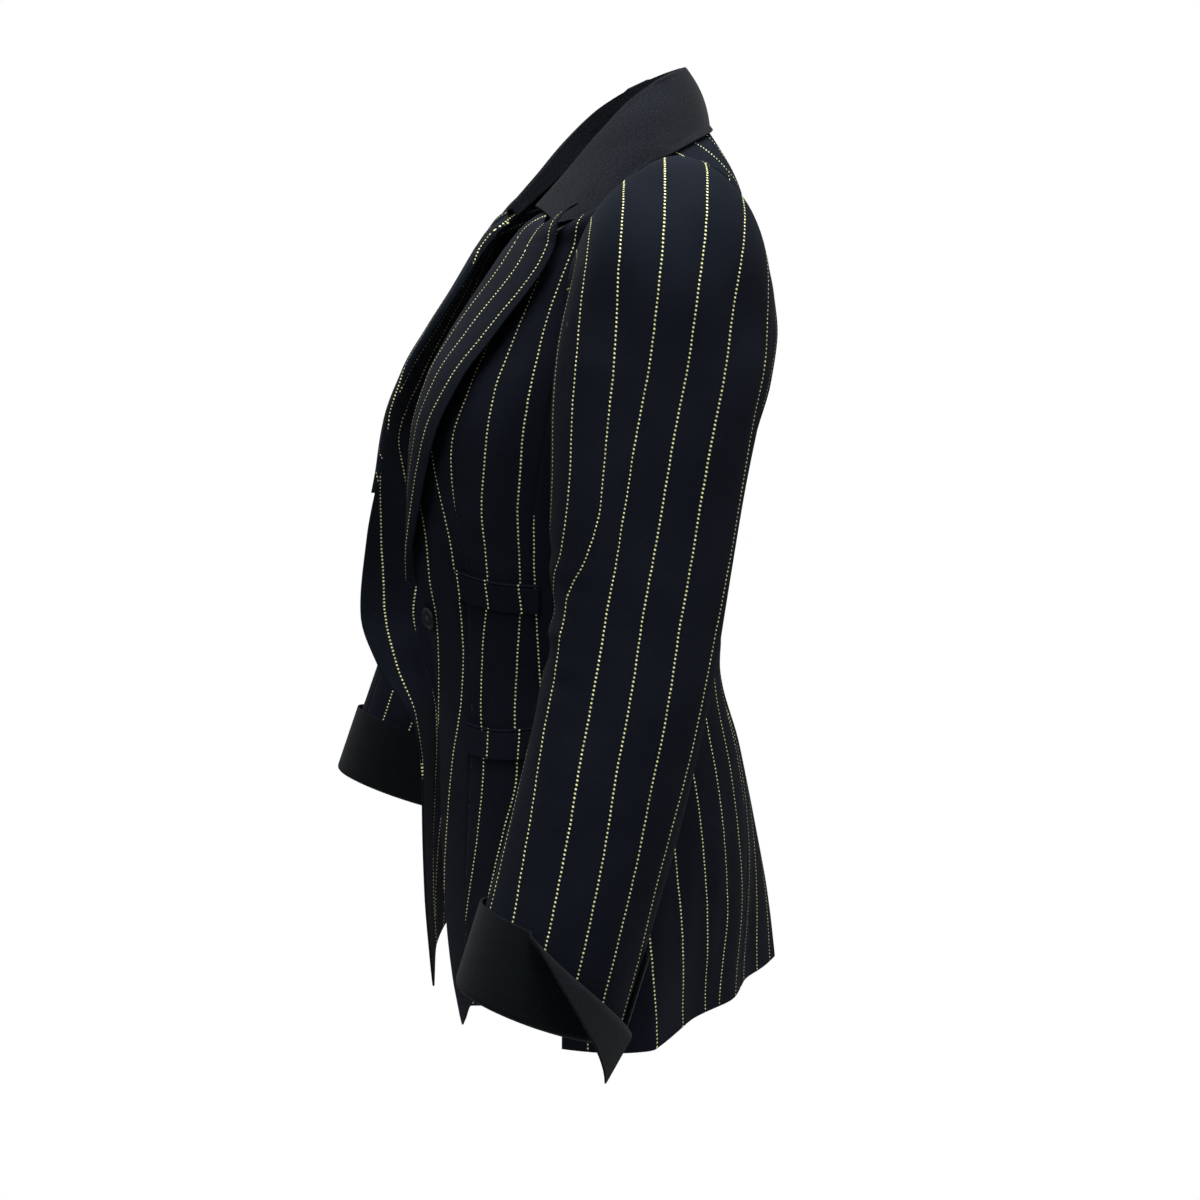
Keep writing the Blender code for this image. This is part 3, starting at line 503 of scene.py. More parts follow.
def sleeve_surface(side, along, around):
    """A sleeve from its head, at along 0 on the armhole, to its hem at 1."""
    along, around = arrays(along, around)
    turn = (around / 360) % 1
    hole = body(side, ARMHOLE.at(turn, "around"), ARMHOLE.at(turn, "z"))
    hole = hole + np.array([side * ARMHOLE_GAP, 0, 0])
    drawn = np.clip(1 - along / DRAWN_IN, 0, 1) ** 2
    ring = sleeve_ring(side, along, around)
    start = sleeve_ring(side, np.zeros_like(along), around)
    return ring + (hole - start) * drawn[..., None]

# %% [markdown]
# Creases of the body, listed one by one like the sleeves': drag lines from the chest to the waist,
# folds over the small of the back, and shallow ones where the skirt swings out. Positive depth is
# a trough. slant is how many degrees round the body a fold moves for each metre of height.

# %% Creases of the body
BODY_CREASES = Table("side around z half_around half_z slant depth", """
1 47.0 -0.215 4.0 0.055 60 0.0018
1 56.0 -0.265 3.5 0.050 -80 0.0015
1 40.0 -0.300 7.0 0.012 0 -0.0010
1 74.0 -0.350 12.0 0.010 0 0.0022
1 84.0 -0.385 14.0 0.009 0 0.0026
1 92.0 -0.420 12.0 0.010 0 0.0020
1 60.0 -0.560 5.0 0.080 -20 0.0016
1 100.0 -0.590 4.0 0.075 30 0.0026
1 118.0 -0.600 4.5 0.070 20 -0.0022
1 124.0 -0.250 6.0 0.050 90 0.0022
1 150.0 -0.390 16.0 0.011 0 0.0024
1 158.0 -0.425 14.0 0.010 0 0.0020
1 140.0 -0.130 7.0 0.030 -60 0.0018
-1 45.0 -0.225 4.0 0.050 60 0.0018
-1 58.0 -0.275 3.5 0.045 -80 0.0014
-1 78.0 -0.360 12.0 0.010 0 0.0022
-1 88.0 -0.400 13.0 0.009 0 0.0024
-1 62.0 -0.540 5.0 0.075 -25 0.0015
-1 104.0 -0.600 4.0 0.070 25 0.0026
-1 121.0 -0.590 4.5 0.070 15 -0.0020
-1 128.0 -0.240 6.0 0.050 80 0.0020
-1 154.0 -0.400 15.0 0.011 0 0.0022
-1 143.0 -0.140 7.0 0.028 -60 0.0017""")


def body_creases(side, around, z):
    """How far the cloth sinks below the plain form at each point."""
    total = np.zeros_like(around + z)
    for its_side, at, height, half_around, half_z, slant, depth in BODY_CREASES.rows():
        if its_side == side:
            off = (around - at - slant * (z - height)) / half_around
            total = total + depth * np.exp(-off ** 2 - ((z - height) / half_z) ** 2)
    return total


print("creases:", len(BODY_CREASES.values["z"]), "on the body,",
      len(SLEEVE_CREASES.values["depth"]), "on each sleeve")

# %% [markdown]
# Cloth has a grain, and the pinstripe follows it, so each piece gets a map in metres: u is the
# distance across the stripes and v the distance along them. On the body both are measured on the
# body itself, round each section and down each side, which is how the flat cloth was cut.

# %% Distances measured on the body
RULER_Z = np.linspace(-0.75, 0.02, 155)      # a mark every 5 mm
RULER_AROUND = np.linspace(0, 180, 181)      # a mark at every degree


def grid(rows, cols):
    return np.meshgrid(rows, cols, indexing="ij")


def distances(points, axis):
    """Distances along the lines of a grid of points, from their start and from their end."""
    step = np.linalg.norm(np.diff(points, axis=axis), axis=-1)
    from_start = np.insert(np.cumsum(step, axis), 0, 0.0, axis=axis)
    return from_start, from_start.take([-1], axis) - from_start


def rulers():
    points = body(LEFT, *grid(RULER_AROUND, RULER_Z))
    return distances(points, 0)[0], distances(points, 1)[0]


ROUND_RULER, UP_RULER = rulers()


def read_ruler(ruler, around, z):
    a = np.clip(np.broadcast_to(around, np.shape(around + z)), 0, 179.999)
    b = np.clip((z - RULER_Z[0]) / (RULER_Z[1] - RULER_Z[0]), 0, len(RULER_Z) - 1.001)
    i, j = a.astype(int), b.astype(int)
    s, t = a - i, b - j
    low = ruler[i, j] * (1 - s) + ruler[i + 1, j] * s
    high = ruler[i, j + 1] * (1 - s) + ruler[i + 1, j + 1] * s
    return low * (1 - t) + high * t


def round_from(line, around, z):
    """Distance round the body at height z, from the angle of a line to another angle."""
    return read_ruler(ROUND_RULER, around, z) - read_ruler(ROUND_RULER, line, z)


print("half the hem round:", round(float(read_ruler(ROUND_RULER, np.array(180.0), -0.69)), 3), "m")

# %% [markdown]
# Each piece of cloth is a closed wall. Its outer face is a fine grid of points on the form, and
# its lining lies a wall's thickness inside. A free edge is turned and pressed, so both faces are
# rounded towards each other there; at a sewn seam the outer face dips where the thread pulls it.
# The grid's lines are drawn close together along the edges so that these small shapes show.

# %% Grids, edges and walls
EDGE_STEPS = np.array([0, 0.00035, 0.0008, 0.0014, 0.0024, 0.0038])
SEAM_DIP, SEAM_HALF = 0.0007, 0.0016
EDGE_PRESSED = 0.94       # how nearly the two faces of a free edge meet


def graded(count, size, start=0.0, end=1.0):
    """Steps from start to end, closer together near both ends; size is in metres."""
    near = EDGE_STEPS / size
    middle = np.linspace(near[-1] * 1.6, 1 - near[-1] * 1.6, count)
    steps = np.concatenate([near, middle, 1 - near[::-1]])
    return start + (end - start) * steps


def grid_normal(points):
    """The normal of a grid of points, from its neighbours."""
    down = np.gradient(points, axis=0)
    across = np.gradient(points, axis=1)
    return unit(np.cross(down, across))


def edge_shape(points, kinds, thickness):
    """How far the two faces move in: at free edges both, at seams only the outer one."""
    both = np.zeros(points.shape[:2])
    outer = np.zeros(points.shape[:2])
    radius = thickness / 2
    rows, cols = distances(points, 0), distances(points, 1)
    for kind, away in zip(kinds, (*rows, *cols)):
        if kind == "free":
            left = np.clip(1 - away / radius, 0, 1)
            both = np.maximum(both, radius * EDGE_PRESSED * (1 - np.sqrt(1 - left ** 2)))
        if kind == "seam":
            outer = np.maximum(outer, SEAM_DIP * np.exp(-(away / SEAM_HALF) ** 2))
    return both, outer


def wall_faces(rows, cols):
    number = np.arange(rows * cols).reshape(rows, cols)
    back = number + rows * cols
    front = np.stack([number[:-1, :-1], number[1:, :-1], number[1:, 1:], number[:-1, 1:]], -1)
    rear = np.stack([back[:-1, :-1], back[:-1, 1:], back[1:, 1:], back[1:, :-1]], -1)
    rim = np.concatenate([number[0, :-1], number[:-1, -1], number[-1, :0:-1], number[:0:-1, 0]])
    ahead = np.roll(rim, -1)
    sides = np.stack([rim, ahead, ahead + rows * cols, rim + rows * cols], -1)
    return front.reshape(-1, 4), rear.reshape(-1, 4), sides


def sew_piece(name, points, kinds, thickness, u, v, side, lined=None, dip=0.0):
    """One piece of cloth from its grid of outer points. side says which way the grid winds.

    lined marks the inner faces that are lining; the rest of the inside is the cloth itself.
    dip is how far both faces sink in creases and in the dart.
    """
    normal = grid_normal(points) * side
    both, seam = edge_shape(points, kinds, thickness)
    dip = np.broadcast_to(dip, both.shape)[..., None]
    outer = points - normal * ((both + seam)[..., None] + dip)
    inner = points - normal * (thickness - both)[..., None] - normal * dip
    front, rear, sides = wall_faces(*points.shape[:2])
    faces = np.concatenate([front, rear, sides])
    if side < 0:
        faces = faces[:, ::-1]
    mesh = bpy.data.meshes.new(name)
    corners = np.concatenate([outer.reshape(-1, 3), inner.reshape(-1, 3)])
    mesh.from_pydata(corners.tolist(), [], faces.tolist())
    uv = np.stack([u, v], -1).reshape(-1, 2)
    uv = np.concatenate([uv, uv])
    layer = mesh.uv_layers.new(name="grain")
    order = np.zeros(len(mesh.loops), int)
    mesh.loops.foreach_get("vertex_index", order)
    layer.data.foreach_set("uv", uv[order].ravel())
    if lined is not None:
        cells = lined[:-1, :-1].reshape(-1)
        marks = np.zeros(len(faces), int)
        marks[len(front):len(front) + len(rear)] = cells
        mesh.polygons.foreach_set("material_index", marks.astype("i"))
    mesh.shade_smooth()
    piece = bpy.data.objects.new(name, mesh)
    bpy.context.scene.collection.objects.link(piece)
    return piece

# %% [markdown]
# A small record of each piece: the plain solid it replaces is hidden, and the piece is kept by
# its name. The area is measured on the grid.

# %% Keeping track of the pieces
made = {}


def area_of(points):
    a = points[1:, 1:] - points[:-1, :-1]
    b = points[1:, :-1] - points[:-1, 1:]
    return float(np.linalg.norm(np.cross(a, b), axis=-1).sum() / 2)


def stand_for(piece):
    """Puts the piece in its plain solid's place."""
    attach(piece, "root")
    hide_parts(piece.name.replace("cloth_", ""))
    made[piece.name] = piece


def keep(piece, points):
    """Puts the piece in its solid's place, and measures the area of its grid."""
    stand_for(piece)
    area = area_of(points)


def piece_name(kind, side):
    return f"cloth_{kind}_{'left' if side == LEFT else 'right'}"

# %% [markdown]
# The stripe. Where each row of dots runs was measured on the photograph: every few centimetres of
# height, or of length down a sleeve, a table gives the place of each row across the cloth in
# millimetres. Between two rows the map of the cloth is stretched to fit, so that the rows drift
# and crowd together as a real jacket's do where darts and seams take cloth away.

# %% Where the rows of dots run
STRIPE_SPACING = 0.028
OPENING_ROWS = Table("z r_2 r_1 r0", """
-0.720 -108.0 -84.0 -12.0
-0.650 -98.0 -71.0 -8.0
-0.600 -90.5 -62.5 -6.0
-0.550 -81.0 -53.0 -6.0
-0.500 -73.0 -44.6 -6.0
-0.450 -65.0 -31.2 0.0
-0.400 -59.5 -26.1 2.0
-0.325 -57.4 -29.2 0.0
-0.275 -64.0 -36.3 -8.0
-0.250 -67.0 -39.0 -14.0
-0.200 -54.0 -26.0 5.8
-0.150 -36.0 -8.0 22.0
-0.100 -20.0 8.0 38.0""")
FRONT_ROWS = Table("z r0 r1 r2", """
-0.720 -74.0 -46.0 -20.0
-0.650 -54.0 -27.0 0.0
-0.600 -41.0 -14.2 10.0
-0.550 -34.0 -6.0 20.0
-0.500 -32.0 -4.0 28.0
-0.450 -36.7 -8.7 23.2
-0.400 -33.0 -5.1 26.7
-0.350 -23.0 5.2 33.6
-0.300 -19.5 9.5 40.3
-0.250 -14.0 22.9 54.0
-0.200 5.8 32.2 63.8
-0.150 22.0 47.4 72.2
-0.100 38.0 65.0 88.8
-0.050 50.0 80.0 108.0""")
SIDE_ROWS = Table("z r_2 r_1 r0 r1", """
-0.700 -73.0 -17.5 22.5 41.0
-0.658 -65.9 -16.1 21.6 45.0
-0.628 -60.9 -16.2 19.6 48.6
-0.568 -55.0 -19.3 13.1 42.1
-0.508 -52.0 -23.0 7.3 36.4
-0.478 -52.0 -24.0 4.5 34.1
-0.300 -50.0 -22.0 6.0 34.0""")
SLEEVE_ROWS = Table("from_hem r_2 r_1 r0 r1 r2 r3 r4", """
0.000 -76.0 -44.0 -17.5 11.0 38.0 65.0 93.0
0.050 -71.0 -40.0 -14.6 13.3 41.6 69.0 97.0
0.130 -62.5 -36.0 -8.6 19.1 52.1 79.0 107.0
0.210 -63.3 -31.2 -2.1 24.7 60.0 86.0 114.0
0.290 -68.7 -31.8 -3.1 22.3 57.0 80.0 106.0
0.330 -74.7 -34.6 -5.9 19.3 41.0 64.0 90.0
0.370 -80.2 -37.7 -9.1 17.2 34.0 61.2 84.1
0.450 -86.4 -42.5 -13.4 13.6 36.5 67.4 93.2
0.530 -89.6 -48.4 -17.9 10.1 40.8 73.7 99.0
0.610 -99.0 -61.2 -25.9 4.6 35.5 70.0 98.0
0.660 -107.0 -70.0 -31.0 0.0 33.0 66.0 95.0""")
LAPEL_ROWS = Table("from_foot r0 r1 r2", """
0.000 -5.0 8.0 20.0
0.100 2.0 15.0 29.0
0.150 4.0 23.0 42.0
0.200 3.0 27.0 51.0
0.260 0.0 28.0 56.0
0.330 -2.0 26.0 58.0""")


def follow_rows(table, first, key, u):
    """Stretches u so that stripe number first + i runs down column i of the table."""
    rows = [table.at(key, name) * 0.001 for name in table.names[1:]]
    result = first * STRIPE_SPACING + np.minimum(u - rows[0], 0)
    for before, after in zip(rows, rows[1:]):
        share = np.clip((u - before) / np.maximum(after - before, 0.001), 0, 1)
        result = result + STRIPE_SPACING * share
    return result + np.maximum(u - rows[-1], 0)

# %% [markdown]
# The fronts, sides and backs. Each is the part of the worn body between two seams. A row of dots
# has to run where the photograph shows it, so each panel has its own zero line for u: the waist
# dart on a front, the middle of a side panel, the centre seam at the back.

# %% The body's panels
CLOTH = 0.0020
FACING = 0.075            # how far the cloth runs on inside the opening, before the lining
FRONT_MIDDLE = Table("z around", """
-0.640 41.0
-0.560 42.0
-0.470 43.0
-0.385 43.0
-0.330 41.5
-0.240 37.0
-0.100 34.0""")
DART = Table("z around", """
-0.640 35.5
-0.560 36.5
-0.470 37.4
-0.400 37.1
-0.340 37.9
-0.300 35.0
-0.250 31.6
-0.100 28.0""")
DART_TOP, DART_FOOT, DART_DIP = -0.200, -0.600, 0.0008
DART_TAPER = 0.03
RIGHT_ROWS_SHIFT = 0.013  # the right front was cut with its rows this much further in
STRIPES_AT = {"front": 0.004, "side": 0.002, "back": 0.012}
BODY_EDGES = {"front": ("free", "seam", "free", "seam"),
              "side": ("free", "seam", "seam", "seam"),
              "back": ("free", "seam", "seam", "seam")}
BODY_SIZE = {"front": (0.74, 0.17), "side": (0.55, 0.22), "back": (0.72, 0.16)}


def zero_line(kind, z):
    if kind == "front":
        return FRONT_MIDDLE.at(z, "around")
    if kind == "back":
        return np.full_like(z, 180.0)
    along = np.clip((z - SIDE_FOOT_Z) / SIDE_TALL, 0, 1)
    return (SIDE_FRONT_SEAM.at(along, "around") + SIDE_BACK_SEAM.at(along, "around")) / 2


def on_dart(side, v, share):
    """Moves a front's columns so that the middle one, at share 0.5, runs down the waist dart."""
    first, _ = front_place(side, np.zeros_like(v), v)
    last, _ = front_place(side, np.ones_like(v), v)
    middle = (DART.at(front_place(side, np.full_like(v, 0.5), v)[1], "around") - first)
    middle = np.clip(middle / (last - first), 0.3, 0.7)
    return np.where(share < 0.5, share * 2 * middle, 1 - (1 - share) * 2 * (1 - middle))


def body_piece(kind, side, place, rows, cols):
    v, share = grid(rows, cols)
    around, z = place(side, on_dart(side, v, share) if kind == "front" else share, v)
    points = cloth(side, around, z)
    sink = body_creases(side, around, z)
    u = round_from(zero_line(kind, z), around, z) - STRIPES_AT[kind]
    if side == RIGHT and kind == "front":
        u = u + RIGHT_ROWS_SHIFT
    along = read_ruler(UP_RULER, around, z)
    winding = side if kind == "back" else -side
    inside = np.ones(points.shape[:2], int)
    if kind == "front":
        inside = (distances(points, 1)[0] > FACING).astype(int)
        sewn = ease((DART_TOP - z) / DART_TAPER) * ease((z - DART_FOOT) / DART_TAPER)
        dart = round_from(DART.at(z, "around"), around, z)
        sink = sink + DART_DIP * sewn * np.exp(-(dart / SEAM_HALF) ** 2)
        u = np.where(share <= 0.5, follow_rows(OPENING_ROWS, -2, z, u),
                     follow_rows(FRONT_ROWS, 0, z, u))
    if kind == "side":
        u = follow_rows(SIDE_ROWS, -2, z, u)
    piece = sew_piece(piece_name(kind, side), points, BODY_EDGES[kind], CLOTH,
                      u, along, winding, inside, sink)
    keep(piece, points)


for side in (LEFT, RIGHT):
    tall, wide = BODY_SIZE["front"]
    halves = [graded(26, wide / 2, 0, 0.5), graded(26, wide / 2, 0.5, 1)[1:]]
    body_piece("front", side, front_place, graded(150, tall, 0, 2), np.concatenate(halves))
    tall, wide = BODY_SIZE["back"]
    body_piece("back", side, back_place, graded(150, tall, 0, 2), graded(40, wide))
    tall, wide = BODY_SIZE["side"]
    side_rows = np.concatenate([[-1.0, -0.97, -0.93, -0.85, -0.6, -0.3], graded(110, tall)])
    body_piece("side", side, side_place, side_rows, graded(50, wide))

# %% [markdown]
# The sleeves. A tailored sleeve is cut in two: the top sleeve is outside and the under sleeve
# faces the body. Its head is a little fuller than the armhole, so it is raised by a small roll
# just past the seam before the sleeve falls.

# %% The two-piece sleeves
HEAD_ROLL, HEAD_AT, HEAD_WIDE = 0.0030, 0.035, 0.028  # its height in metres, the rest along it
SLEEVE_SEAMS = {"sleeve_top": (-105.0, 105.0), "sleeve_under": (105.0, 255.0)}
SLEEVE_ZERO = {"sleeve_top": 0.0, "sleeve_under": 180.0}
SLEEVE_STRIPES_AT = {"sleeve_top": 0.010, "sleeve_under": 0.006}
SLEEVE_LENGTH = 0.62


def across_from(points, cols, zero):
    """Distance along each row from the column that stands at zero."""
    first = distances(points, 1)[0]
    start = np.array([np.interp(zero, cols, line) for line in first])
    return first - start[:, None]


def sleeve_piece(kind, side):
    first, last = SLEEVE_SEAMS[kind]
    rows = graded(150, SLEEVE_LENGTH)
    cols = graded(56 if kind == "sleeve_top" else 42, 0.2, first, last)
    along, around = grid(rows, cols)
    points = sleeve_surface(side, along, around)
    head = np.exp(-((along - HEAD_AT) / HEAD_WIDE) ** 2) * np.clip(np.cos(np.radians(around)), 0, 1)
    points = points - grid_normal(points) * (HEAD_ROLL * head * side)[..., None]
    u = across_from(points, cols, SLEEVE_ZERO[kind]) - SLEEVE_STRIPES_AT[kind]
    v = distances(points, 0)[1]
    if kind == "sleeve_top":
        u = follow_rows(SLEEVE_ROWS, -2, v, u)
    piece = sew_piece(piece_name(kind, side), points, ("seam", "free", "seam", "seam"),
                      CLOTH, u, v, -side, np.ones(points.shape[:2], int))
    keep(piece, points)


for side in (LEFT, RIGHT):
    for kind in SLEEVE_SEAMS:
        sleeve_piece(kind, side)

# %% [markdown]
# The turned-back cuffs are plain black cloth. The band comes out from under the sleeve's hem,
# folds up round it, and towards the slit at the outer back it leans out and drops over itself
# along a slanting roll. The path is walked in short strides, turning a little at each.

# %% The turned-back cuffs
CUFF_HEIGHT = 0.059
SLIT_AT = -64.0  # the cuff's slit, in degrees round the sleeve from its outer side
SLIT_WIDTH = 5.0
FLAP_FROM = 32.0  # where the dropped part of the cuff begins, in the same degrees
FLAP_WAY = (0.66, -0.58, -0.48)  # the way the dropped part hangs, on the left sleeve
FOLD_WIDTH = 0.0105  # length of the cuff's fold under the sleeve's hem
ROLL_WIDTH = 0.024  # length over which the band turns over to hang down
CUFF_GAP, CUFF_INSET = 0.0010, 0.0022  # below the sleeve's hem, and inside it
LEAN = 1.6  # how far the band leans out where it turns over
CUFF_STRIDES = 48
THIN = 0.0018  # thickness of a plain solid's thin wall
CUFF_CLOTH = 0.0017
CUFF_WAVE, CUFF_WAVES = 0.0006, 3.0  # the band isn't quite flat: how deep its waves are, how many


def cuff_surface(side, around, rise):
    """The turned-back cuff: from under the sleeve's hem, round its fold and up.

    Towards the slit the band leans out and drops over itself, along a slanting roll.
    """
    around, rise = arrays(around, rise)
    one = np.ones_like(around)
    hem = sleeve_surface(side, one, around)
    up = unit(sleeve_surface(side, one * 0.97, around) - hem)
    tangent = sleeve_surface(side, one, around + 2) - sleeve_surface(side, one, around - 2)
    out = unit(np.cross(up, unit(tangent))) * side
    # Near the slit the band turns over low, and past the flap it never does.
    from_slit = (around - (SLIT_AT + SLIT_WIDTH / 2)) / (FLAP_FROM - SLIT_AT)
    roll_height = CUFF_HEIGHT * np.where(from_slit < 1, 0.10 + 0.90 * from_slit, 3.0)
    dropped = unit(np.array(FLAP_WAY) * np.array([side, 1, 1]))
    place = hem - up * (THIN + CUFF_GAP) - out * CUFF_INSET
    travelled = np.zeros_like(rise)
    stride = rise * (CUFF_HEIGHT + FOLD_WIDTH) / CUFF_STRIDES
    for _ in range(CUFF_STRIDES):
        folding = ease(travelled / FOLD_WIDTH)
        direction = out * (1 - folding)[..., None] + up * folding[..., None]
        over = ease((travelled - FOLD_WIDTH - roll_height + ROLL_WIDTH / 2) / ROLL_WIDTH)
        direction = unit(direction * (1 - over)[..., None] + dropped * over[..., None]
                         + out * (over * (1 - over) * LEAN)[..., None])
        place = place + direction * stride[..., None]
        travelled = travelled + stride
    return place


def plain_piece(name, points, kinds, thickness, side):
    """A folded piece of plain black cloth, whose grain follows its own grid."""
    u, v = distances(points, 1)[0], distances(points, 0)[0]
    piece = sew_piece(name, points, kinds, thickness, u, v, side)
    keep(piece, points)


def cuff_piece(side):
    start, end = SLIT_AT + SLIT_WIDTH / 2, SLIT_AT + 360 - SLIT_WIDTH / 2
    rows, cols = graded(40, 0.07), graded(130, 0.37, start, end)
    rise, around = grid(rows, cols)
    points = cuff_surface(side, around, rise)
    wave = CUFF_WAVE * np.sin(np.radians(around * CUFF_WAVES) + 1.3 * side) * ease(rise)
    points = points + grid_normal(points) * wave[..., None]
    plain_piece(piece_name("cuff", side), points, ("seam", "free", "free", "free"), CUFF_CLOTH,
                side)


for side in (LEFT, RIGHT):
    cuff_piece(side)

# %% [markdown]
# The lapels turn back from the roll line. Past that line the cloth goes on round the front's own
# edge in a half circle, so the roll is soft and no raw edge shows. The rows of dots run beside
# the lapel's outer edge, so u is measured from there.

# %% The peaked lapels
LAPEL_EDGE = Table("along z x stand", """
0.00 -0.362 0.049 0.002
0.12 -0.325 0.060 0.008
0.30 -0.270 0.079 0.009
0.50 -0.208 0.104 0.009
0.70 -0.148 0.128 0.008
0.88 -0.098 0.146 0.007
1.00 -0.069 0.146 0.008""")
GORGE = Table("across z x stand", """
0.00 -0.067 0.063 0.000
0.30 -0.078 0.085 0.001
0.50 -0.0825 0.103 0.001
0.62 -0.084 0.115 0.002
1.00 -0.069 0.146 0.008""")
BREAK_Z = {LEFT: -0.360, RIGHT: -0.340}  # where each roll line begins
RIGHT_LAPEL_DROP = 0.018  # the right lapel's edge is this much further out at its foot
LAPEL_CROWN = 0.004
LAPEL_GAP = 0.0009        # clear of the front below, at the roll line
LAPEL_CLOTH = 0.0014
LAPEL_ROLL, ROLL_AT_FOOT = 0.0026, 0.0009  # radius of the roll, and where it begins
LAPEL_STRIPES_AT = 0.0105
LAPEL_STARTS = {LEFT: 0.02, RIGHT: 0.15}  # how far up the roll line each lapel begins
LAPEL_FOOT, FOOT_TAPER = 0.12, 0.16  # the right lapel's width at its foot, and where it is full
LAPEL_OPENS, ROLL_GROWS = 0.75, 0.25  # how far up the roll line each of these goes on
FLAT_BELOW, FULL_ABOVE = 0.13, 0.35  # up the roll line, where the right lapel leaves the front
ROLL_STEPS = np.linspace(math.pi, 0, 8)[:-1]


def lapel_surface(side, across, along):
    """A lapel, from the roll line at across 0 to its edge, and from the break up to the gorge."""
    across, along = arrays(across, along)
    ring = blend(BREAK_Z[side], FRONT_RISE.at(NECK_AT, "z"), along)
    roll_x = front_edge(side).at(ring, "x")
    roll = np.stack([ring - shoulder_drop(roll_x, ring), roll_x, np.zeros_like(along)], -1)
    outer = LAPEL_EDGE.point(along, "z", "x", "stand")
    if side == RIGHT:
        opened = (1 - ease(along / LAPEL_OPENS))[..., None]
        outer = outer + opened * np.array([BREAK_Z[RIGHT] - BREAK_Z[LEFT], RIGHT_LAPEL_DROP, 0])
    gorge = GORGE.point(across, "z", "x", "stand")
    straight = blend(GORGE.point(np.zeros_like(across), "z", "x", "stand"),
                     GORGE.point(np.ones_like(across), "z", "x", "stand"), across[..., None])
    place = blend(roll, outer, across[..., None]) + (gorge - straight) * (along ** 4)[..., None]
    z, x, stand = place[..., 0], place[..., 1], place[..., 2]
    ring = ring_through(x, z)
    if side == RIGHT:
        stand = stand * ease((along - FLAT_BELOW) / (FULL_ABOVE - FLAT_BELOW))
    crown = LAPEL_CROWN * np.sin(math.pi * np.clip(across, 0, 1))
    return cloth(side, around_of(x, ring), ring, stand + crown + THIN + LAPEL_GAP)


def rolled(points, radius, out):
    """Adds columns before the first that curl round a half circle of this radius, row by row."""
    radius = np.broadcast_to(radius, len(points))[:, None]
    normal = grid_normal(points)[:, 0] * out
    away = -unit(points[:, 3] - points[:, 0])
    away = unit(away - normal * (away * normal).sum(-1, keepdims=True))
    centre = points[:, 0] - normal * radius
    curl = [centre + radius * (math.cos(t) * normal + math.sin(t) * away) for t in ROLL_STEPS]
    return np.concatenate([np.stack(curl, 1), points], 1)


def lapel_piece(side):
    foot = LAPEL_STARTS[side]
    along, across = grid(graded(120, 0.31, foot, 1), graded(34, 0.09)[4:])
    if side == RIGHT:
        across = across * blend(LAPEL_FOOT, 1.0, ease((along - foot) / FOOT_TAPER))
    points = lapel_surface(side, across, along)
    soft = blend(ROLL_AT_FOOT, LAPEL_ROLL, ease(along[:, 0] / ROLL_GROWS))
    points = rolled(points, soft, -side)
    u = distances(points, 1)[1] - LAPEL_STRIPES_AT
    v = distances(points, 0)[0][:, -1:] + np.zeros_like(u)
    v = v + v[-1, 0] * (foot - LAPEL_STARTS[LEFT]) / (1 - foot)
    u = follow_rows(LAPEL_ROWS, 0, v, u)
    piece = sew_piece(piece_name("lapel", side), points, ("free", "free", "none", "free"),
                      LAPEL_CLOTH, u, v, -side)
    keep(piece, points)


for side in (LEFT, RIGHT):
    lapel_piece(side)

# %% [markdown]
# The collar is two pieces of plain cloth: a stand round the neck, and a leaf that turns over its
# top and lies on the shoulders. The leaf starts inside the fold, so that the top is round. Three
# lines shape it: its seam to the neck, its fold, and the leaf's outer edge.

# %% The collar and its stand
COLLAR = Table("along fold_x fold_y fold_z leaf_x leaf_y leaf_z seam_x seam_y seam_z", """
0.00 0.000 0.070 0.052 0.000 0.092 0.002 0.000 0.0745 0.006
0.15 0.024 0.064 0.050 0.040 0.078 -0.006 0.023 0.0665 0.001
0.30 0.045 0.043 0.041 0.075 0.053 -0.017 0.045 0.046 -0.004
0.48 0.059 0.014 0.024 0.103 0.020 -0.028 0.062 0.020 -0.010
0.66 0.065 -0.016 -0.004 0.118 -0.008 -0.049 0.065 -0.010 -0.026
0.84 0.064 -0.042 -0.034 0.124 -0.032 -0.070 0.064 -0.037 -0.048
1.00 0.062 -0.066 -0.061 0.116 -0.056 -0.083 0.061 -0.061 -0.068""")
COLLAR_BULGE = 0.005      # crown of the leaf between its fold and its edge
CROWN_UP, CROWN_OUT = 0.55, 0.85  # the way it bulges
COLLAR_MIDDLE_Y = 0.010
COLLAR_DEPTH = 0.0040     # from the leaf's outer face to the neck's side of the stand
COLLAR_STAND_OFF = 0.0038  # the leaf's outer face off the body below
COLLAR_CLOTH, COLLAR_ROLL = 0.0017, 0.0022


def collar_line(line, along):
    """A collar line on both sides: along runs from -1 at the right gorge to 1 at the left."""
    near = COLLAR.point(np.abs(along), line + "_x", line + "_y", line + "_z")
    return near * np.stack([np.sign(along), np.ones_like(along), np.ones_like(along)], -1)


def collar_leaf_surface(along, down):
    along, down = arrays(along, down)
    fold, edge = collar_line("fold", along), collar_line("leaf", along)
    place = blend(fold, edge, down[..., None])
    outward = unit((edge - fold) * np.array([1, 1, 0]))
    lifted = np.array([0, 0, CROWN_UP]) + outward * CROWN_OUT
    crown = COLLAR_BULGE * np.sin(math.pi * np.clip(down, 0, 1)) ** 0.8
    return clear_of_body(place + lifted * crown[..., None], COLLAR_STAND_OFF)


def collar_stand_surface(along, up):
    """The neck's side of the collar, inside the leaf and clear of its wall."""
    along, up = arrays(along, up)
    seam, fold = collar_line("seam", along), collar_line("fold", along)
    place = blend(seam, fold, up[..., None])
    inward = -unit((place - np.array([0, COLLAR_MIDDLE_Y, 0])) * np.array([1, 1, 0]))
    return place + inward * COLLAR_DEPTH


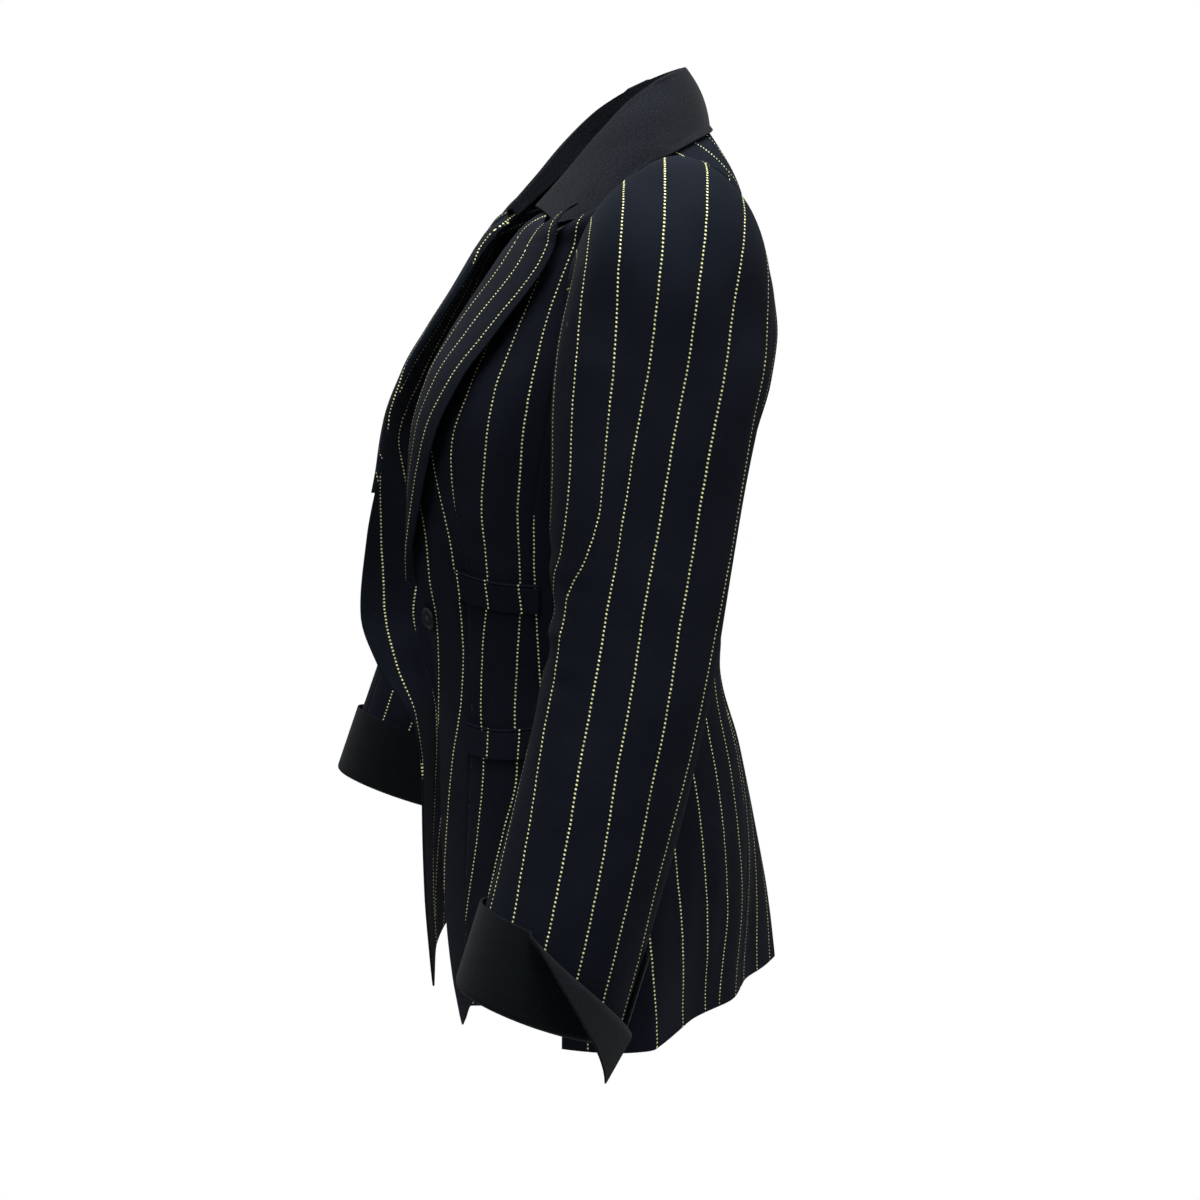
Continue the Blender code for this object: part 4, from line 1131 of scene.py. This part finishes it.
def collar_piece(name, points, kinds):
    plain_piece(name, points, kinds, COLLAR_CLOTH, -1)


cols = graded(150, 0.36, -1, 1)
down, along = grid(graded(44, 0.07)[4:], cols)
leaf = collar_leaf_surface(along, down).transpose(1, 0, 2)
collar_piece("cloth_collar", rolled(leaf, COLLAR_ROLL, 1).transpose(1, 0, 2),
             ("none", "free", "free", "free"))
up, along = grid(graded(20, 0.05, 0.02, 0.97), cols)
collar_piece("cloth_collar_stand", collar_stand_surface(along, up),
             ("free", "none", "free", "free"))

# %% [markdown]
# The pockets: each has a welt, a folded band about two centimetres deep, and over it a thin jet
# that binds the pocket's mouth. They lie on the front, so they are made from its points.

# %% The pocket welts
SEAM_GAP = 0.0003         # distance between neighbouring pieces
WELTS = {
    "upper": dict(start=33.5, end=61.0, z_start=-0.344, z_end=-0.352, height=0.0205),
    "lower": dict(start=36.0, end=59.0, z_start=-0.466, z_end=-0.464, height=0.0215)}
WELT_STAND = 0.0008       # clear of the panel below
CURLED_WELT_STAND = 0.0018  # the right front curls under its lower welt
JET_HEIGHT = 0.0022
WELT_BOW = 0.003
WELT_STRIPES_AT = {"upper": 0.0048, "lower": 0.0010}


def welt_surface(side, kind, across, down):
    """A welt over its front: across runs away from the opening, down is in metres."""
    size = WELTS[kind]
    around = blend(size["start"], size["end"], across)
    top = blend(size["z_start"], size["z_end"], across) - WELT_BOW * np.sin(math.pi * across)
    stand = CURLED_WELT_STAND if (side, kind) == (RIGHT, "lower") else WELT_STAND
    return cloth(side, around, top - down, stand + THIN)


def welt_strip(name, side, kind, rows):
    down, across = grid(rows, graded(40, 0.07))
    points = welt_surface(side, kind, across, down)
    size = WELTS[kind]
    around = blend(size["start"], size["end"], across)
    z = blend(size["z_start"], size["z_end"], across) - down
    u = round_from(zero_line("front", z), around, z) - STRIPES_AT["front"]
    v = read_ruler(UP_RULER, around, z)
    piece = sew_piece(piece_name(f"{name}_{kind}", side), points, ("free",) * 4, THIN,
                      u - WELT_STRIPES_AT[kind], v, side)
    return piece, points


def pocket(side, kind):
    height = WELTS[kind]["height"]
    welt, points = welt_strip("welt", side, kind, height * graded(14, height))
    rows = -SEAM_GAP - JET_HEIGHT + JET_HEIGHT * np.linspace(0, 1, 7)
    jet, _ = welt_strip("jet", side, kind, rows)
    stand_for(jet)
    keep(welt, points)


for side in (LEFT, RIGHT):
    for kind in WELTS:
        pocket(side, kind)

# %% [markdown]
# Materials are node trees, and a tree is easier to read as a sum. This small class wraps a
# socket, so that adding or multiplying two values in Python adds the Math node that does it. Any
# other node comes from one method, paint.node.

# %% A socket that can be calculated with
class Value:
    def __init__(self, paint, socket):
        self.paint, self.socket = paint, socket

    def math(self, operation, *others, clamp=False):
        node = self.paint.node("ShaderNodeMath", {"operation": operation, "use_clamp": clamp},
                               [self, *others])
        return Value(self.paint, node.outputs[0])

    def __add__(self, other):
        return self.math("ADD", other)

    def __sub__(self, other):
        return self.math("SUBTRACT", other)

    def __mul__(self, other):
        return self.math("MULTIPLY", other)

    def __truediv__(self, other):
        return self.math("DIVIDE", other)

    def __rsub__(self, other):
        return self * -1.0 + other

    __radd__, __rmul__ = __add__, __mul__

    def near(self, period):
        """Distance to the nearest multiple of period."""
        return ((self / period + 0.5).math("FRACT") - 0.5).math("ABSOLUTE") * period

    def ramp(self, start, end):
        """0 before start and 1 after end, straight between them."""
        return ((self - start) / (end - start)).math("ADD", 0.0, clamp=True)


class Tree:
    """The node tree of a material or of the world."""

    def __init__(self, owner):
        owner.use_nodes = True
        self.owner, self.tree = owner, owner.node_tree

    def node(self, kind, settings=None, values=()):
        node = self.tree.nodes.new(kind)
        for name, setting in (settings or {}).items():
            setattr(node, name, setting)
        pairs = values.items() if isinstance(values, dict) else enumerate(values)
        for socket, value in pairs:
            self.put(node.inputs[socket], value)
        return node

    def put(self, socket, value):
        if isinstance(value, Value):
            value = value.socket
        if isinstance(value, bpy.types.NodeSocket):
            self.tree.links.new(value, socket)
        else:
            socket.default_value = value

    def value(self, node, output=0):
        return Value(self, node.outputs[output])


class Paint(Tree):
    """A material under construction."""

    def __init__(self, name, roughness=0.8, **fixed):
        super().__init__(bpy.data.materials.new(name))
        self.shader = self.tree.nodes["Principled BSDF"]
        for socket, value in dict(fixed, Roughness=roughness).items():
            self.put(self.shader.inputs[socket.replace("_", " ")], value)

    def position(self):
        return self.node("ShaderNodeTexCoord").outputs["Object"]

    def grain(self):
        """The map of the cloth in metres: across the stripes, and along them."""
        uv = self.node("ShaderNodeUVMap", {"uv_map": "grain"})
        apart = self.node("ShaderNodeSeparateXYZ", values=[uv.outputs[0]])
        return self.value(apart, "X"), self.value(apart, "Y"), uv.outputs[0]

    def stretched(self, place, stretch):
        node = self.node("ShaderNodeVectorMath", {"operation": "MULTIPLY"}, [place, stretch])
        return node.outputs[0]

    def noise(self, place, scale, detail=3.0, stretch=(1, 1, 1)):
        node = self.node("ShaderNodeTexNoise", {"noise_dimensions": "3D"},
                         {"Vector": self.stretched(place, stretch), "Scale": scale,
                          "Detail": detail})
        return self.value(node, "Fac")

    def weave(self, distance, width):
        """Ribs of this width across a distance, as a wave from 0 to 1."""
        return (distance / width * (2 * math.pi)).math("SINE") * 0.5 + 0.5

    def mix(self, factor, a, b):
        node = self.node("ShaderNodeMix", {"data_type": "RGBA"})
        self.put(node.inputs[0], factor)
        for socket, colour in ((node.inputs[6], a), (node.inputs[7], b)):
            self.put(socket, (*colour, 1.0) if isinstance(colour, tuple) else colour)
        return node.outputs[2]

    def finish(self, colour, roughness, height, strength, distance=0.0005):
        self.put(self.shader.inputs["Base Color"], colour)
        self.put(self.shader.inputs["Roughness"], roughness)
        bump = self.node("ShaderNodeBump", values={"Strength": strength, "Distance": distance,
                                                   "Height": height})
        self.put(self.shader.inputs["Normal"], bump.outputs["Normal"])
        return self.owner

# %% [markdown]
# Lint: a dark jacket always carries a few pale specks and short fibres. They are the middles of
# scattered cells, and only the rare cell with a high random number shows one.

# %% Lint
def lint(paint, place, scale, size, share, stretch=(1, 1, 1)):
    cells = paint.node("ShaderNodeTexVoronoi", {"feature": "F1"},
                       {"Vector": paint.stretched(place, stretch), "Scale": scale})
    chosen = paint.node("ShaderNodeSeparateColor", values=[cells.outputs["Color"]])
    rare = paint.value(chosen, 0).ramp(1 - share, 1 - share + 0.001)
    return (1 - paint.value(cells, "Distance").ramp(size * 0.6, size)) * rare

# %% [markdown]
# The pinstripe wool. The ground is worsted, nearly black with a little navy, in a fine twill. Each
# stripe is a row of tiny pale yellow dots, where a light thread comes up through the weave. A dot
# is a place that is near a stripe across the grain and near a multiple of the pitch along it.
# The thread wavers a little, and some dots are fainter than others.

# %% Pinstripe wool
DOT_PITCH, DOT_RADIUS = 0.0031, 0.00072
TWILL = 0.0011


def pinstripe(name):
    paint = Paint(name, Specular_IOR_Level=0.03, Sheen_Weight=0.008, Sheen_Roughness=0.5)
    u, v, place = paint.grain()
    waver = (paint.noise(place, 60.0, 1.0) - 0.5) * 0.0009
    across = (u + waver).near(STRIPE_SPACING)
    along = v.near(DOT_PITCH)
    away = (across * across + along * along * 0.9).math("SQRT")
    dot = 1 - away.ramp(DOT_RADIUS * 0.8, DOT_RADIUS * 1.15)
    faint = paint.noise(place, 420.0, 0.0).ramp(0.30, 0.55) * 0.45 + 0.55
    fibre = paint.noise(place, 2600.0, 2.0, (1.0, 0.35, 1.0))
    cloud = paint.noise(place, 14.0, 3.0)
    twill = paint.weave(u + v * 0.6, TWILL)
    ground = paint.mix(cloud.ramp(0.35, 0.65), (0.0016, 0.0028, 0.0056), (0.0038, 0.0054, 0.0096))
    ground = paint.mix(fibre.ramp(0.45, 0.75) * 0.7, ground, (0.013, 0.016, 0.022))
    ground = paint.mix(twill * 0.22, ground, (0.0010, 0.0016, 0.0034))
    speck = lint(paint, place, 80.0, 0.075, 0.10, (1.0, 0.45, 1.0))
    ground = paint.mix(speck * 0.5, ground, (0.10, 0.11, 0.13))
    colour = paint.mix(dot * faint, ground, (0.70, 0.71, 0.36))
    rough = 0.70 + fibre * 0.20
    height = twill * 0.35 + fibre * 0.5 + dot * 0.8
    return paint.finish(colour, rough, height, 0.45, 0.0004)


pinstripe_wool = pinstripe("pinstripe_wool")
print("stripe every", STRIPE_SPACING * 1000, "mm, a dot every", DOT_PITCH * 1000, "mm")

# %% [markdown]
# The plain black wool of the collar and cuffs has a short brushed nap. It scatters light in
# soft patches where it was stroked one way or the other, and it catches more lint. It is made
# twice from one cloth: the collar's copy is paler as painted light from above, and the cuffs'
# copy is darker as painted shade low on the sleeves.

# %% Plain black wool
def plain_wool(name, deep, pale):
    paint = Paint(name, Specular_IOR_Level=0.03, Sheen_Weight=0.03, Sheen_Roughness=0.6)
    place = paint.grain()[2]
    nap = paint.noise(place, 900.0, 3.0, (1.0, 0.45, 1.0))
    stroke = paint.noise(place, 30.0, 3.0, (0.7, 1.3, 1.0))
    colour = paint.mix(stroke.ramp(0.3, 0.7), deep, pale)
    fuzz = tuple(3.4 * channel for channel in pale)
    colour = paint.mix(nap.ramp(0.45, 0.75) * 0.7, colour, fuzz)
    speck = lint(paint, place, 70.0, 0.06, 0.10)
    hair = lint(paint, place, 45.0, 0.07, 0.08, (1.0, 0.22, 1.0))
    colour = paint.mix(speck * 0.5, colour, (0.20, 0.20, 0.21))
    colour = paint.mix(hair * 0.18, colour, (0.16, 0.16, 0.17))
    return paint.finish(colour, 0.80 + nap * 0.15, nap + stroke * 0.6, 0.5, 0.0005)


# painted light and shade: one cloth in two copies, paler on the collar where light falls from
# above, darker on the cuffs low down in shade
collar_wool = plain_wool("collar_wool", (0.0010, 0.0017, 0.0026), (0.0032, 0.0040, 0.0058))
cuff_wool = plain_wool("cuff_wool", (0.0003, 0.0010, 0.0014), (0.0011, 0.0021, 0.0028))

# %% [markdown]
# The lining is a smooth dark twill with a low shine, and fine lines of weave across it.

# %% Lining
LINING_TWILL = 0.0013


def lining_cloth():
    paint = Paint("lining", Specular_IOR_Level=0.3)
    u, v, place = paint.grain()
    weave = paint.weave(u - v * 0.5, LINING_TWILL)
    wrinkle = paint.noise(place, 22.0, 4.0, (1.6, 0.5, 1.0))
    colour = paint.mix(wrinkle.ramp(0.3, 0.7), (0.0045, 0.0052, 0.0075), (0.0085, 0.0092, 0.0120))
    rough = 0.38 + wrinkle * 0.14
    return paint.finish(colour, rough, weave * 0.15 + wrinkle * 2.0, 0.35, 0.0012)


lining = lining_cloth()

# %% [markdown]
# Each finish goes on the pieces of its slot, with the lining second, for the faces marked as
# lined.

# %% Put the finishes on
PLAIN = {"cloth_collar": collar_wool, "cloth_cuff": cuff_wool}
for name, piece in made.items():
    plain = [wool for start, wool in PLAIN.items() if name.startswith(start)]
    for finish in plain or [pinstripe_wool, lining]:
        piece.data.materials.append(finish)
print("dressed pieces:", len(made))

# %% [markdown]
# The button keeps its plain solid, which already has the rim and the four holes. It is dark,
# moulded and satin, slightly scratched.

# %% The button's finish
def button_finish():
    paint = Paint("button_black", Specular_IOR_Level=0.16)
    where = paint.position()
    cloud = paint.noise(where, 240.0, 4.0)
    scratch = paint.noise(where, 900.0, 2.0, (1.0, 6.0, 1.0))
    colour = paint.mix(cloud.ramp(0.35, 0.7), (0.0035, 0.004, 0.006), (0.009, 0.010, 0.014))
    return paint.finish(colour, 0.52 + scratch * 0.22, scratch * 0.4 + cloud, 0.25, 0.0002)


button_black = button_finish()
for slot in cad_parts["button_left"].material_slots:
    slot.material = button_black

# %% [markdown]
# The stitches that hold the button: two bars of doubled thread cross between the holes, and each
# end goes down through a hole to the cloth.

# %% The button's thread
BUTTON_HOLES_OUT = 0.0026  # the holes' distance from the middle
BUTTON_GAP = 0.0016        # from the cloth to the button's back
BUTTON_AROUND, BUTTON_Z = 20.5, -0.385
THREAD_RADIUS = 0.00032
THREAD_APART = 0.0003      # half the distance between the two threads of a bar
THREAD_TOP = 0.00186       # how far above the button's back the thread leaves a hole
THREAD_DEPTH = 0.0012      # how far below it each end goes
THREAD_RISE = 0.0002       # how much the thread bows, and the second bar lies over the first


def button_place():
    centre = cloth(LEFT, BUTTON_AROUND, BUTTON_Z, BUTTON_GAP)
    level = cloth(LEFT, BUTTON_AROUND + 2, BUTTON_Z) - cloth(LEFT, BUTTON_AROUND - 2, BUTTON_Z)
    rising = cloth(LEFT, BUTTON_AROUND, BUTTON_Z + 0.006)
    rising = rising - cloth(LEFT, BUTTON_AROUND, BUTTON_Z - 0.006)
    level = unit(level)
    facing = unit(np.cross(level, rising))
    return centre, level, unit(np.cross(facing, level)), facing


def thread_bars():
    centre, level, upright, facing = button_place()
    curve = bpy.data.curves.new("button_thread", "CURVE")
    curve.dimensions = "3D"
    curve.bevel_depth = THREAD_RADIUS
    curve.bevel_resolution = 3
    holes = [math.pi / 4 + math.pi / 2 * k for k in range(4)]
    for bar in (0, 1):
        for shift in (-THREAD_APART, THREAD_APART):
            ends = [centre + BUTTON_HOLES_OUT * (math.cos(hole) * level + math.sin(hole) * upright)
                    for hole in (holes[bar], holes[bar + 2])]
            side_way = unit(np.cross(ends[1] - ends[0], facing)) * shift
            path = [ends[0] - facing * THREAD_DEPTH,
                    ends[0] + facing * (THREAD_TOP + THREAD_RISE),
                    centre + facing * (THREAD_TOP + (3 + bar) * THREAD_RISE),
                    ends[1] + facing * (THREAD_TOP + THREAD_RISE),
                    ends[1] - facing * THREAD_DEPTH]
            spline = curve.splines.new("POLY")
            spline.points.add(len(path) - 1)
            for point, target in zip(spline.points, path):
                point.co = (*(target + side_way), 1)
    thread = bpy.data.objects.new("button_thread", curve)
    bpy.context.scene.collection.objects.link(thread)
    return thread


def thread_finish():
    paint = Paint("black_thread", Specular_IOR_Level=0.3)
    where = paint.position()
    twist = paint.noise(where, 2500.0, 1.0)
    colour = paint.mix(twist, (0.010, 0.010, 0.014), (0.045, 0.045, 0.055))
    return paint.finish(colour, 0.6 + twist * 0.2, twist, 0.4, 0.0002)


thread = thread_bars()
thread.data.materials.append(thread_finish())
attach(thread, "root")

# %% [markdown]
# The room: a round pale floor well below the hanging blazer, and a white room all round it. The
# camera sees the room plain white, as in the photograph, but the light it gives comes mostly from
# above and fades downwards, so that hems and cuffs are darker than shoulders. Dark cloth shows
# its folds only where a lamp grazes it, so large soft lamps stand in front and behind.

# %% Floor and light
FLOOR_RADIUS, FLOOR_Z = 1.15, -1.45
LIGHT_ABOVE, LIGHT_BELOW = 1.0, 0.03
FADE_FROM, FADE_TO = -0.03, 0.9  # the upward share of a direction at which each is reached
LAMPS = [  # name, place, height aimed at, size in metres and power in watts
    ("front", (1.6, -2.4, 1.3), -0.3, 1.4, 24),
    ("back", (1.9, 2.0, 1.2), -0.35, 1.2, 26),
    ("far", (-2.2, -1.6, 0.6), -0.4, 1.6, 14),
    ("top", (0.6, 0.1, 2.0), 0.0, 1.4, 130)]


def room():
    bpy.ops.mesh.primitive_circle_add(vertices=96, radius=FLOOR_RADIUS, fill_type="NGON",
                                      location=(0, 0, FLOOR_Z))
    floor = bpy.context.object
    floor.name = "floor"
    paint = Paint("pale_floor")
    where = paint.position()
    patch = paint.noise(where, 3.0, 3.0)
    colour = paint.mix(patch, (0.86, 0.86, 0.86), (0.90, 0.90, 0.90))
    floor.data.materials.append(paint.finish(colour, 0.85 + patch * 0.05, patch, 0.05, 0.001))


def sky():
    world = Tree(bpy.data.worlds.new("white_room"))
    way = world.node("ShaderNodeTexCoord").outputs["Generated"]
    apart = world.node("ShaderNodeSeparateXYZ", values=[way])
    fade = world.node("ShaderNodeMapRange", values={
        "Value": apart.outputs["Z"], "From Min": FADE_FROM, "From Max": FADE_TO,
        "To Min": LIGHT_BELOW, "To Max": LIGHT_ABOVE})
    lights = [world.node("ShaderNodeBackground", values=[(1, 1, 1, 1), strength]).outputs[0]
              for strength in (fade.outputs["Result"], 1.0)]
    rays = world.node("ShaderNodeLightPath").outputs["Is Camera Ray"]
    choice = world.node("ShaderNodeMixShader", values=[rays, *lights])
    world.put(world.tree.nodes["World Output"].inputs["Surface"], choice.outputs[0])
    bpy.context.scene.world = world.owner
    bpy.context.scene.view_settings.view_transform = "Standard"


def lamp(name, place, aim, size, power):
    light = bpy.data.lights.new(name, "AREA")
    light.shape, light.size, light.energy = "DISK", size, power
    holder = bpy.data.objects.new(name, light)
    holder.location = place
    way = Vector(aim) - Vector(place)
    holder.rotation_euler = way.to_track_quat("-Z", "Y").to_euler()
    bpy.context.scene.collection.objects.link(holder)


room()
sky()
for where, place, aim_z, size, power in LAMPS:
    lamp(where + "_lamp", place, (0, 0, aim_z), size, power)

# %% [markdown]
# The camera stands where the photograph was taken from: on the wearer's left and a little in
# front, slightly above, looking eight degrees down.

# %% Camera
CAMERA_PLACE = (1.9563, -0.4158, -0.095)
CAMERA_AZIMUTH, CAMERA_DOWN = math.radians(78.0), math.radians(8.2)
CAMERA_LENS, SENSOR = 72.96, 36.0  # in millimetres
camera = bpy.data.objects.new("camera", bpy.data.cameras.new("camera"))
bpy.context.scene.collection.objects.link(camera)
camera.data.lens, camera.data.sensor_width = CAMERA_LENS, SENSOR
camera.data.clip_start = 0.05
camera.location = CAMERA_PLACE
view_way = Vector((-math.sin(CAMERA_AZIMUTH) * math.cos(CAMERA_DOWN),
                   math.cos(CAMERA_AZIMUTH) * math.cos(CAMERA_DOWN), -math.sin(CAMERA_DOWN)))
camera.rotation_euler = view_way.to_track_quat("-Z", "Y").to_euler()
bpy.context.scene.camera = camera
